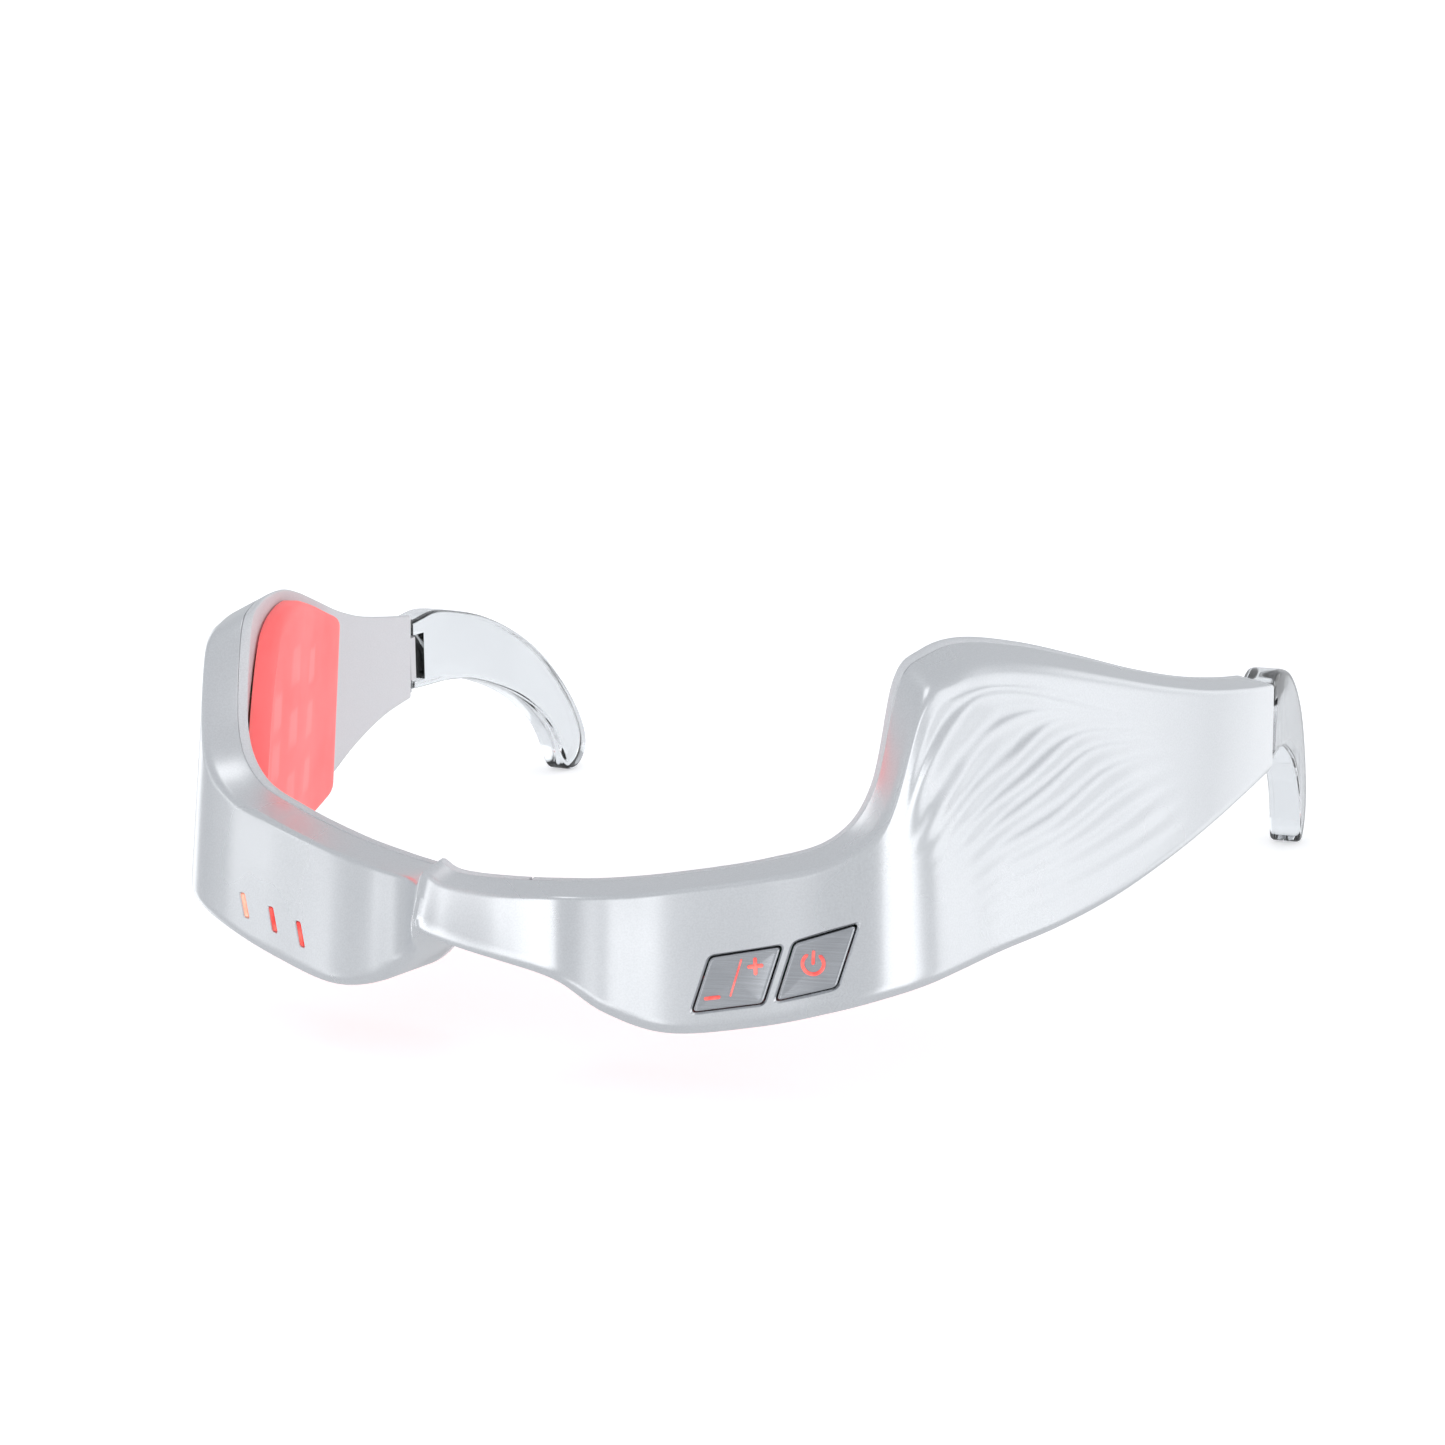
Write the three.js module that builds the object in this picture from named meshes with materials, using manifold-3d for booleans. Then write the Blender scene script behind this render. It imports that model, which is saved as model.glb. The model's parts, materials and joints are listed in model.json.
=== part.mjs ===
// Eye massager mask worn like spectacles. Millimetres, +Z up, the wearer faces -Y.
// Left and right are the wearer's: the keys are on the left (+X), the indicators on the right (-X).
import * as THREE from 'three';
import { mergeVertices } from 'three/addons/utils/BufferGeometryUtils.js';
import Module from 'manifold-3d';

const wasm = await Module();
wasm.setup();

// ---- Driving dimensions ----
const THICK = 5.6;            // the arms, outer face to inner face
const SKIN = 1.4;             // moulded skin of the casing and its flanges
const COVER = 1.2;            // inner cover
const GAP = 0.3;              // parting gap between neighbouring pieces
const PAD = 3.0;              // silicone light pad, proud of the inner cover
const PAD_MARGIN = 1.3;       // cover left bare above the pad where its edge is level
const PAD_BOTTOM = 1.2;       // and below it
const FILLET = 2.2;           // rounding of the outer bottom edge
const LEAN_LEVEL = -9;        // height at which the outer face is on its plan line
const HOOK_THICK = 5;         // clear ear hook
const PIN_REACH = 1.9;        // hinge pin beyond the end of the arm
const PIN_INSET = 1.5;        // hinge pin from the inner face
const PIN_RADIUS = 0.65;
const PIN_BORE = 0.8;
const KNUCKLE = 1.45;         // radius of the tongue round the pin
const HOOK_FRONT = 1.3;       // the hook's front end ahead of the pin
const TONGUE_TOP = -4;
const TONGUE_BOTTOM = -11;
const HOOK_TOE_IN = 3;        // degrees towards the head
const KEY_PROUD = 0.15;
const KEY_DEPTH = 1.2;

// Half of the front, from the middle of the nose bridge to the end of the arm.
// x, y: outer face seen from above; turn: heading of the wall's inward side in degrees;
// top, bottom: its edges; thick, deep: thickness at the top and bottom edges; lean: outward
// slope of the outer face towards the bottom; fall: how far the sloping top face drops
// from the inner face to the outer one.
const HALF_FRONT = [
  { x: 0, y: -1.6, turn: 0, top: -7.6, bottom: -14.5, thick: 4.4, deep: 4.8, lean: 0.5, fall: 0.5 },
  { x: 1.7, y: 0.5, turn: 2, top: -9.2, bottom: -16.2, thick: 4.8, deep: 5.4, lean: 0.35, fall: 0.6 },
  { x: 5.3, y: 6.2, turn: 6, top: -11.3, bottom: -19.9, thick: 6, deep: 7.6, lean: 0.15, fall: 0.7 },
  { x: 9.4, y: 11.2, turn: 10, top: -12.4, bottom: -23.2, thick: 6, deep: 9.6, lean: 0.1, fall: 0.7 },
  { x: 14.6, y: 13.1, turn: 13, top: -12.2, bottom: -26.8, thick: 5.8, deep: 10.2, lean: 0.1, fall: 0.8 },
  { x: 22, y: 14.3, turn: 14, top: -11, bottom: -28.5, thick: 5.6, deep: 10, lean: 0.1, fall: 0.9 },
  { x: 32, y: 16.8, turn: 15, top: -9, bottom: -27.2, thick: 5.6, deep: 9, lean: 0.1, fall: 1.1 },
  { x: 40, y: 18.6, turn: 22, top: -6.2, bottom: -25.1, thick: 5.6, deep: 7.6, lean: 0.1, fall: 1.6 },
  { x: 45.4, y: 20.8, turn: 38, top: -0.4, bottom: -23.5, thick: 5.6, deep: 6.6, lean: 0.1, fall: 2.5 },
  { x: 48.9, y: 24.7, turn: 54, top: 11.2, bottom: -22.7, thick: 5.6, deep: 6, lean: 0.1, fall: 2.3 },
  { x: 51.2, y: 30.5, turn: 65, top: 14, bottom: -22.4, thick: 5.6, deep: 5.7, lean: 0.09, fall: 2.9 },
  { x: 53.6, y: 38.5, turn: 69, top: 14.4, bottom: -22.2, thick: 5.6, deep: 5.6, lean: 0.09, fall: 3.2 },
  { x: 57.6, y: 48.5, turn: 70, top: 12.6, bottom: -21.7, thick: 5.6, deep: 5.6, lean: 0.09, fall: 3.1 },
  { x: 61.5, y: 60, turn: 71, top: 9.5, bottom: -20.8, thick: 5.6, deep: 5.6, lean: 0.08, fall: 2.6 },
  { x: 65.3, y: 72, turn: 73, top: 6.1, bottom: -19, thick: 5.6, deep: 5.6, lean: 0.07, fall: 2 },
  { x: 68.7, y: 84, turn: 75, top: 3.3, bottom: -16.8, thick: 5.6, deep: 5.6, lean: 0.06, fall: 1.5 },
  { x: 71.2, y: 95.5, turn: 79, top: 1.4, bottom: -15, thick: 5.6, deep: 5.6, lean: 0.04, fall: 1.1 },
  { x: 72.6, y: 106, turn: 83, top: 0, bottom: -14, thick: 5.6, deep: 5.6, lean: 0.03, fall: 0.9 },
];
const END = HALF_FRONT.length - 1;

// Where things sit along the wall: whole numbers are rows of the table above.
const BRIDGE_END = 2.3;       // the bridge liner meets the inner covers here
const PAD_FROM = 3.05;
const PAD_TO = 13.4;
const LIGHT_FROM = 4.5;
const LIGHT_TO = 12.4;
const MOTOR_AT = 11.4;
const SCREWS = [{ at: 4.1, z: -23 }, { at: 13.3, z: 2.2 }, { at: 13.3, z: -12.4 }];

// Outer outlines of the two keys on the left pod, as x and z on the wall.
const LEVEL_KEY = [[25.3, -25.3], [32.9, -23.9], [34.6, -17.5], [27, -19.1]];
const POWER_KEY = [[34.4, -23.5], [40.8, -21.6], [42.6, -14.7], [36.1, -17]];
const LEVEL_KEY_AT = 5.79;    // wall position at the middle of each key
const POWER_KEY_AT = 6.79;

// Indicator windows on the right pod: wall position and height of the middle of each.
const WINDOWS = [{ x: -36.6, z: -21.1 }, { x: -31.7, z: -22 }, { x: -26.9, z: -22.9 }];
const POD_HEADING = 14.2;     // the straight front of a pod, seen from above
const WINDOW_TALL = 2.7;
const WINDOW_WIDE = 0.6;
const WINDOW_SLANT = 0.8;

// Side view of the clear ear hook, behind the pin: distance behind the pin, height.
const HOOK_UPPER = [[7, -0.5], [14, -1.6], [22, -3.6], [31, -7.2], [39.5, -12], [47.2, -18.3], [53.1, -24.8], [56.2, -30]];
const HOOK_TIP = [[56.5, -33.6], [54.4, -36.2], [51, -36.9], [48.9, -35.4]];
const HOOK_LOWER = [[46.3, -30.6], [43.1, -26.5], [38.3, -22.8], [32, -19.1], [24.5, -16], [17, -13.8], [10, -12.9]];

// ---- Colours ----
const pearl = look(0xd3d6da, 0.32, 0.55);
const lightGrey = look(0xd5d6d9, 0.55, 0.1);
const satin = look(0xb4b9bf, 0.3, 0.75);
const lightPad = look(0xff8f90, 0.5, 0);
const clear = look(0xe3e7ea, 0.08, 0);
const steel = look(0xb9bcc0, 0.3, 1);
const darkSteel = look(0x6d7074, 0.4, 1);
const board = look(0x1f5a3c, 0.6, 0.1);
const black = look(0x1d1e20, 0.6, 0);
const foil = look(0xc3c6c9, 0.35, 0.8);
const redGlow = look(0xf0524f, 0.35, 0);
const copper = look(0xb5702c, 0.45, 0.4);

function look(color, roughness, metalness) {
  return new THREE.MeshStandardMaterial({ color, roughness, metalness });
}

// ---- Small geometry helpers ----
const rad = THREE.MathUtils.degToRad;

function solid(geometry) {
  const bare = new THREE.BufferGeometry();
  const source = geometry.index ? geometry.toNonIndexed() : geometry;
  bare.setAttribute('position', source.getAttribute('position').clone());
  const merged = mergeVertices(bare, 1e-4);
  const vertProperties = new Float32Array(merged.getAttribute('position').array);
  const triVerts = new Uint32Array(merged.index.array);
  return new wasm.Manifold(new wasm.Mesh({ numProp: 3, vertProperties, triVerts }));
}

function geometryOf(shape) {
  const mesh = shape.getMesh();
  const geometry = new THREE.BufferGeometry();
  geometry.setAttribute('position', new THREE.BufferAttribute(new Float32Array(mesh.vertProperties), 3));
  geometry.setIndex(new THREE.BufferAttribute(new Uint32Array(mesh.triVerts), 1));
  return geometry;
}

function cut(shape, ...tools) {
  return tools.reduce((left, tool) => left.subtract(tool), shape);
}

function join(shape, ...others) {
  return others.reduce((left, other) => left.add(other), shape);
}

// A closed body through rings with the same number of points, capped at both ends.
function loft(rings) {
  const count = rings[0].length;
  const points = rings.flat();
  const faces = [];
  for (let r = 0; r < rings.length - 1; r++) {
    for (let i = 0; i < count; i++) {
      const a = r * count + i;
      const b = r * count + (i + 1) % count;
      faces.push(a, b, b + count, a, b + count, a + count);
    }
  }
  const last = (rings.length - 1) * count;
  for (const [i, j, k] of capFaces(rings[0])) faces.push(k, j, i);
  for (const [i, j, k] of capFaces(rings[rings.length - 1])) faces.push(last + i, last + j, last + k);
  const geometry = new THREE.BufferGeometry();
  geometry.setAttribute('position', new THREE.Float32BufferAttribute(points.flatMap(p => p.toArray()), 3));
  geometry.setIndex(faces);
  return solid(facingOut(geometry));
}

function capFaces(ring) {
  const origin = ring[0];
  const flat = new THREE.Vector3(ring[1].x - origin.x, ring[1].y - origin.y, 0);
  if (flat.length() < 1e-6) flat.set(ring[2].x - origin.x, ring[2].y - origin.y, 0);
  flat.normalize();
  const seen = ring.map(p => new THREE.Vector2(p.clone().sub(origin).dot(flat), p.z));
  const turned = THREE.ShapeUtils.isClockWise(seen);
  const faces = THREE.ShapeUtils.triangulateShape(turned ? seen.slice().reverse() : seen, []);
  if (!turned) return faces;
  return faces.map(([a, b, c]) => [ring.length - 1 - c, ring.length - 1 - b, ring.length - 1 - a]);
}

function facingOut(geometry) {
  const p = geometry.getAttribute('position');
  const index = geometry.index.array;
  const [a, b, c] = [new THREE.Vector3(), new THREE.Vector3(), new THREE.Vector3()];
  let volume = 0;
  for (let i = 0; i < index.length; i += 3) {
    a.fromBufferAttribute(p, index[i]);
    b.fromBufferAttribute(p, index[i + 1]);
    c.fromBufferAttribute(p, index[i + 2]);
    volume += a.dot(b.cross(c));
  }
  if (volume < 0) index.reverse();
  return geometry;
}

function box(sx, sy, sz) {
  return new THREE.BoxGeometry(sx, sy, sz);
}

function post(radius, height, sides = 24) {
  return new THREE.CylinderGeometry(radius, radius, height, sides).rotateX(Math.PI / 2);
}

// ---- The wall of the front ----
function row(i) {
  const side = i < END ? -1 : 1;
  const half = HALF_FRONT[Math.abs(i - END)];
  return { ...half, x: side * half.x, turn: side * half.turn };
}

const ROWS = Array.from({ length: 2 * END + 1 }, (_, i) => row(i));
const KEYS_OF_ROW = Object.keys(HALF_FRONT[0]);

// The wall at position at, from -END at the end of the right arm to END at the left one.
function wall(at) {
  const i = THREE.MathUtils.clamp(Math.floor(at + END), 0, 2 * END - 1);
  const t = at + END - i;
  const rows = [i - 1, i, i + 1, i + 2].map(k => ROWS[THREE.MathUtils.clamp(k, 0, 2 * END)]);
  const spot = {};
  for (const key of KEYS_OF_ROW) spot[key] = smooth(rows.map(r => r[key]), t);
  spot.inX = -Math.sin(rad(spot.turn));
  spot.inY = Math.cos(rad(spot.turn));
  return spot;
}

// Catmull-Rom blend between the two middle values.
function smooth([a, b, c, d], t) {
  const linear = c - a;
  const square = 2 * a - 5 * b + 4 * c - d;
  const cube = 3 * b - a - 3 * c + d;
  return b + 0.5 * t * (linear + t * (square + t * cube));
}

// depth: distance inward from the outer face at height z.
function onWall(spot, depth, z) {
  const inward = depth - spot.lean * (LEAN_LEVEL - z);
  return new THREE.Vector3(spot.x + spot.inX * inward, spot.y + spot.inY * inward, z);
}

function innerDepth(spot, z) {
  const down = (spot.top - z) / (spot.top - spot.bottom);
  return spot.thick + (spot.deep - spot.thick) * THREE.MathUtils.clamp(down, 0, 1);
}

function positions(from, to, spacing = 3.2) {
  const list = [];
  for (let at = from; at < to - 1e-6;) {
    list.push(at);
    const here = wall(at);
    const ahead = wall(Math.min(at + 0.1, END));
    const speed = Math.hypot(ahead.x - here.x, ahead.y - here.y, (ahead.top - here.top) / 2) / 0.1;
    const longest = Math.abs(at) < 2.4 ? 0.25 : 1;
    at += THREE.MathUtils.clamp(spacing / Math.max(speed, 1), 0.12, longest);
  }
  if (to - list[list.length - 1] < 0.05) list.pop();
  list.push(to);
  return list;
}

function sweep(from, to, section, spacing) {
  return loft(positions(from, to, spacing).map(at => section(wall(at), at)));
}

function arc(depth, z, radius, startDegrees, endDegrees, steps) {
  const list = [];
  for (let i = 0; i <= steps; i++) {
    const angle = rad(startDegrees + (endDegrees - startDegrees) * i / steps);
    list.push([depth + radius * Math.cos(angle), z + radius * Math.sin(angle)]);
  }
  return list;
}

// ---- Casing ----
// Height of the sloping top face at a depth from the outer face.
function topAt(spot, depth) {
  return spot.top - spot.fall * (1 - depth / spot.thick);
}

// The rounded corner between the outer face and the top face.
function topCorner(spot, steps) {
  const reach = 0.25 + 0.4 * spot.fall;
  const start = new THREE.Vector2(0, topAt(spot, 0) - reach);
  const tip = new THREE.Vector2(0, topAt(spot, 0));
  const end = new THREE.Vector2(reach, topAt(spot, reach));
  return new THREE.QuadraticBezierCurve(start, tip, end).getPoints(steps).map(p => [p.x, p.y]);
}

function casingSection(spot) {
  const { bottom, deep, thick } = spot;
  const rim = COVER + GAP;
  const fillet = Math.min(FILLET, (deep - rim) * 0.8);
  const section = [
    ...arc(fillet, bottom + fillet, fillet, 270, 180, 4),
    ...topCorner(spot, 4),
    [thick - rim, topAt(spot, thick - rim)],
    [deep - rim, bottom],
  ];
  return section.map(([depth, z]) => onWall(spot, depth, z));
}

function channelSection(spot) {
  const { bottom, deep, thick } = spot;
  const bevel = Math.min(1.1, 0.3 * thick);
  const ceiling = depth => topAt(spot, depth) - 1.15 * SKIN;
  const section = [
    [SKIN + bevel, bottom + SKIN],
    [SKIN, bottom + SKIN + 1],
    [SKIN, ceiling(SKIN) - 0.4],
    [SKIN + bevel, ceiling(SKIN + bevel)],
    [thick + 3, ceiling(thick + 3)],
    [deep + 3, bottom + SKIN],
  ];
  return section.map(([depth, z]) => onWall(spot, depth, z));
}

// A prism standing on the wall, from its outline in x and z, along the wall's depth.
function prismOnWall(outline, at, from, to, grow = 0) {
  const spot = wall(at);
  const middle = outline.reduce((sum, p) => [sum[0] + p[0] / outline.length, sum[1] + p[1] / outline.length], [0, 0]);
  const cosine = Math.cos(rad(spot.turn));
  const shape = new THREE.Shape();
  roundedOutline(outline, grow).forEach(([x, z], i) => {
    const along = (x - middle[0]) / cosine;
    if (i) shape.lineTo(along, z - middle[1]);
    else shape.moveTo(along, z - middle[1]);
  });
  const body = new THREE.ExtrudeGeometry(shape, { depth: to - from, bevelEnabled: false });
  body.rotateX(Math.PI / 2).translate(0, to, 0).rotateZ(rad(spot.turn));
  const slip = (middle[0] - spot.x) * Math.tan(rad(spot.turn));
  body.translate(middle[0], spot.y + slip, middle[1]);
  return solid(body);
}

// The outline grown outwards by grow, with its corners rounded off.
function roundedOutline(outline, grow) {
  const corner = 0.5 + grow;
  const count = outline.length;
  const list = [];
  for (let i = 0; i < count; i++) {
    const before = new THREE.Vector2(...outline[(i + count - 1) % count]);
    const here = new THREE.Vector2(...outline[i]);
    const after = new THREE.Vector2(...outline[(i + 1) % count]);
    const back = before.sub(here).normalize();
    const ahead = after.sub(here).normalize();
    const sine = Math.abs(back.cross(ahead));
    const out = back.clone().add(ahead).multiplyScalar(-grow / sine);
    const tip = here.clone().add(out);
    const start = tip.clone().addScaledVector(back, corner);
    const end = tip.clone().addScaledVector(ahead, corner);
    const curve = new THREE.QuadraticBezierCurve(start, tip, end);
    for (const p of curve.getPoints(3)) list.push([p.x, p.y]);
  }
  return list;
}

function windowOutline({ x, z }, wide, tall) {
  const lean = WINDOW_SLANT / 2;
  const half = wide / 2;
  const up = tall / 2;
  return [[x + lean - half, z - up], [x + lean + half, z - up], [x - lean + half, z + up], [x - lean - half, z + up]];
}

// A plain prism on the wall with sharp corners, for the narrow windows.
function slotPrism(window, wide, tall, from, to) {
  const at = positionOfX(window.x);
  const spot = wall(at);
  const ring = depth => windowOutline(window, wide, tall).map(([x, z]) => {
    const base = onWall(spot, depth, z);
    const along = (x - spot.x) / Math.cos(rad(spot.turn));
    return new THREE.Vector3(base.x + along * spot.inY, base.y - along * spot.inX, z);
  });
  return loftFree([ring(from), ring(to)]);
}

// Loft of two rings that face along the wall's depth, with fan caps.
function loftFree([near, far]) {
  const count = near.length;
  const faces = [];
  for (let i = 0; i < count; i++) {
    const j = (i + 1) % count;
    faces.push(i, j, j + count, i, j + count, i + count);
  }
  for (let i = 1; i < count - 1; i++) faces.push(0, i + 1, i, count, count + i, count + i + 1);
  const geometry = new THREE.BufferGeometry();
  const points = [...near, ...far].flatMap(p => p.toArray());
  geometry.setAttribute('position', new THREE.Float32BufferAttribute(points, 3));
  geometry.setIndex(faces);
  return solid(facingOut(geometry));
}

// Wall position whose outer face has this x.
function positionOfX(x) {
  let low = -END;
  let high = END;
  for (let i = 0; i < 40; i++) {
    const middle = (low + high) / 2;
    if (wall(middle).x < x) low = middle;
    else high = middle;
  }
  return low;
}

// Put a part made round its own origin on the wall, its local +Y pointing inward.
function standOnWall(geometry, at, depth, z, slope = 0) {
  const spot = wall(at);
  const place = onWall(spot, depth, z);
  return geometry.clone().rotateX(-Math.atan(slope)).rotateZ(rad(spot.turn)).translate(place.x, place.y, z);
}

// Slope of the inner face, for parts that lie along it.
function innerSlope(at) {
  const spot = wall(at);
  return spot.lean - (spot.deep - spot.thick) / (spot.top - spot.bottom);
}

// Flat parts behind the straight front of a pod share its heading.
function standInPod(geometry, side, x, depth, z) {
  const place = onWall(wall(positionOfX(side * x)), depth, z);
  return geometry.clone().rotateX(-Math.atan(0.1)).rotateZ(side * rad(POD_HEADING)).translate(place.x, place.y, z);
}

function boss({ at, z }, side) {
  const spot = wall(side * at);
  const deepEnd = innerDepth(spot, z) - COVER - GAP;
  const length = deepEnd - SKIN + 0.5;
  const body = new THREE.CylinderGeometry(1.7, 1.7, length, 16);
  const hole = new THREE.CylinderGeometry(0.75, 0.75, length, 12).translate(0, 0.8, 0);
  const middle = SKIN - 0.5 + length / 2;
  const place = geometry => solid(standOnWall(geometry, side * at, middle, z));
  return { body: place(body), hole: place(hole) };
}

const BOSSES = [-1, 1].flatMap(side => SCREWS.map(screw => boss(screw, side)));

// Hinge frame: the point of the arm's end ahead of the pin, and the pin behind it.
function hinge(side) {
  const spot = wall(side * END);
  const back = new THREE.Vector2(side * spot.inY, -side * spot.inX);
  const inset = THICK - PIN_INSET;
  const end = new THREE.Vector2(spot.x + spot.inX * inset, spot.y + spot.inY * inset);
  const pin = end.clone().addScaledVector(back, PIN_REACH);
  return { end, pin, heading: Math.atan2(back.y, back.x) - Math.PI / 2 };
}

// A block in the arm's own frame: from (negative) ahead of to behind the arm's end face,
// and in and out from the pin's line.
function armBlock(side, from, to, inward, outward, top, bottom) {
  const { end, heading } = hinge(side);
  const body = box(inward + outward, to - from, top - bottom);
  body.translate(side * (outward - inward) / 2, (from + to) / 2, (top + bottom) / 2);
  return body.rotateZ(heading).translate(end.x, end.y, 0);
}

const SOCKET_X = -24.5;

function socketPlace(geometry) {
  const spot = wall(positionOfX(SOCKET_X));
  const place = onWall(spot, 5, spot.bottom);
  return geometry.rotateZ(rad(spot.turn)).translate(place.x, place.y, spot.bottom);
}

function stadium(wide, tall, height) {
  const shape = new THREE.Shape();
  const half = (wide - tall) / 2;
  shape.absarc(half, 0, tall / 2, -Math.PI / 2, Math.PI / 2, false);
  shape.absarc(-half, 0, tall / 2, Math.PI / 2, 1.5 * Math.PI, false);
  return new THREE.ExtrudeGeometry(shape, { depth: height, bevelEnabled: false, curveSegments: 8 });
}

function makeCasing() {
  const envelope = sweep(-END, END, casingSection);
  const channel = sweep(-END + 0.22, END - 0.22, channelSection);
  const bosses = BOSSES.map(b => b.body.intersect(envelope));
  const holes = BOSSES.map(b => b.hole);
  const keys = [
    prismOnWall(LEVEL_KEY, LEVEL_KEY_AT, -3, 3.5, 0.22),
    prismOnWall(POWER_KEY, POWER_KEY_AT, -3, 3.5, 0.22),
  ];
  const slots = WINDOWS.map(w => slotPrism(w, WINDOW_WIDE + 0.2, WINDOW_TALL + 0.2, -2, 3));
  const tongues = [-1, 1].map(side => solid(armBlock(side, -8, 2, 3, 1.8, TONGUE_TOP + 0.3, TONGUE_BOTTOM - 0.3)));
  const socket = solid(socketPlace(stadium(9.4, 3.6, 6).translate(0, 0, -2)));
  const screwHoles = [-1, 1].flatMap(side => bracketScrews(side).map(({ hole }) => solid(hole)));
  return cut(join(cut(envelope, channel), ...bosses), ...holes, ...keys, ...slots, ...tongues, socket, ...screwHoles);
}

// ---- Inner covers, bridge liner, pads and light boards ----
function coverSection(spot) {
  const { top, bottom, thick, deep } = spot;
  const section = [
    [deep - COVER, bottom],
    [thick - COVER, topAt(spot, thick - COVER)],
    [thick - 0.45, topAt(spot, thick - 0.45)],
    [thick, top - 0.5],
    [deep, bottom + 0.6],
    [deep - 0.5, bottom],
  ];
  return section.map(([depth, z]) => onWall(spot, depth, z));
}

// The cover left bare above the pad grows where the edge climbs.
function padTop(at) {
  const spot = wall(at);
  const ahead = wall(at + 0.15);
  const behind = wall(at - 0.15);
  const climb = Math.abs(ahead.top - behind.top) / Math.hypot(ahead.x - behind.x, ahead.y - behind.y);
  return spot.top - PAD_MARGIN - 3.6 * climb;
}

// A band on the inner face, from the pad's edges inwards by the two margins.
function bandSection(from, to, topMargin, bottomMargin) {
  return (spot, at) => {
    const top = padTop(at) - topMargin;
    const bottom = spot.bottom + PAD_BOTTOM + bottomMargin;
    return [
      onWall(spot, innerDepth(spot, bottom) + from, bottom),
      onWall(spot, innerDepth(spot, top) + from, top),
      onWall(spot, innerDepth(spot, top) + to, top),
      onWall(spot, innerDepth(spot, bottom) + to, bottom),
    ];
  };
}

function sidedSweep(side, from, to, section, spacing) {
  return side > 0 ? sweep(from, to, section, spacing) : sweep(-to, -from, section, spacing);
}

function makeCover(side) {
  const plate = sidedSweep(side, BRIDGE_END, END, coverSection);
  const lightWindow = sidedSweep(side, LIGHT_FROM, LIGHT_TO, bandSection(-4, 3, 1.6, 3.2), 2);
  const screws = SCREWS.map(({ at, z }) => {
    const deep = innerDepth(wall(side * at), z);
    const shank = new THREE.CylinderGeometry(0.95, 0.95, 6, 16);
    const head = new THREE.CylinderGeometry(1.5, 1.5, 2, 16);
    return join(
      solid(standOnWall(shank, side * at, deep, z)),
      solid(standOnWall(head, side * at, deep + 0.3, z)));
  });
  return cut(plate, lightWindow, ...screws);
}

// The pad narrows to rounded ends and has a rounded rim on the head side.
function padSection(spot, at) {
  const fromEnd = Math.min((Math.abs(at) - PAD_FROM) / 0.75, (PAD_TO - Math.abs(at)) / 0.4);
  const full = Math.sqrt(1 - (1 - Math.min(fromEnd, 1)) ** 2);
  const trim = 2 * (1 - full);
  const top = padTop(at) - trim;
  const bottom = spot.bottom + PAD_BOTTOM + trim;
  const proud = 1.6 + (PAD - 1.6) * full;
  const soft = 1.1;
  const ring = [
    [GAP, bottom],
    [GAP, top],
    ...arc(proud - soft, top - soft, soft, 90, 0, 3),
    ...arc(proud - soft, bottom + soft, soft, 0, -90, 3),
  ];
  return ring.map(([depth, z]) => onWall(spot, innerDepth(spot, z) + depth, z));
}

function makePad(side) {
  const ends = [0, 0.1, 0.25, 0.45, 0.75];
  const nose = ends.map(step => PAD_FROM + step);
  const tail = ends.map(step => PAD_TO - step * 0.5).reverse();
  const inside = positions(PAD_FROM + 0.75, PAD_TO - 0.4, 3.2).slice(1, -1);
  const list = [...nose, ...inside, ...tail].map(at => side * at);
  if (side < 0) list.reverse();
  return loft(list.map(at => padSection(wall(at), at)));
}

// Flexible board with two rows of light packages and drivers, all soldered into one body.
function makeLightBoard(side) {
  const strip = sidedSweep(side, LIGHT_FROM + 0.2, LIGHT_TO - 0.15, bandSection(-1.3, -0.8, 3.2, 4.2), 2);
  const lights = [];
  for (let column = 0; column < 8; column++) {
    const at = side * (LIGHT_FROM + 0.6 + column * (LIGHT_TO - LIGHT_FROM - 1.2) / 7);
    const spot = wall(at);
    const rows = spot.top > 4 ? 3 : 1;
    for (let i = 0; i < rows; i++) {
      const high = Math.min(padTop(at - 0.4), padTop(at + 0.4)) - 3.4;
      const low = spot.bottom + PAD_BOTTOM + 4.2;
      const z = low + (high - low) * (i + 0.5) / rows;
      const light = box(2.6, 0.8, 2.6);
      lights.push(solid(standOnWall(light, at, innerDepth(spot, z) - 0.65, z, innerSlope(at))));
    }
  }
  return join(strip, ...lights);
}

function makeBridgeLiner() {
  return sweep(-BRIDGE_END + 0.06, BRIDGE_END - 0.06, coverSection, 2);
}

// ---- Keys ----
function keySkin() {
  return sweep(4.2, 8.6, spot => [
    onWall(spot, KEY_DEPTH, spot.bottom + 0.4),
    onWall(spot, KEY_DEPTH, spot.top),
    onWall(spot, -KEY_PROUD, spot.top),
    onWall(spot, -KEY_PROUD, spot.bottom + 0.4),
  ]);
}

function makeKey(outline, at, plungers) {
  const cap = prismOnWall(outline, at, -3, 3).intersect(keySkin());
  const stem = new THREE.CylinderGeometry(0.8, 0.8, 0.9, 12);
  const stems = plungers.map(({ at: where, z }) => solid(standOnWall(stem, where, KEY_DEPTH + 0.2, z)));
  return join(cap, ...stems);
}

const LEVEL_PLUNGERS = [{ at: 5.58, z: -21.4 }, { at: 6, z: -20.6 }];
const POWER_PLUNGERS = [{ at: 6.79, z: -19 }];
const SWITCH_DEPTH = KEY_DEPTH + 1.0;

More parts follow.
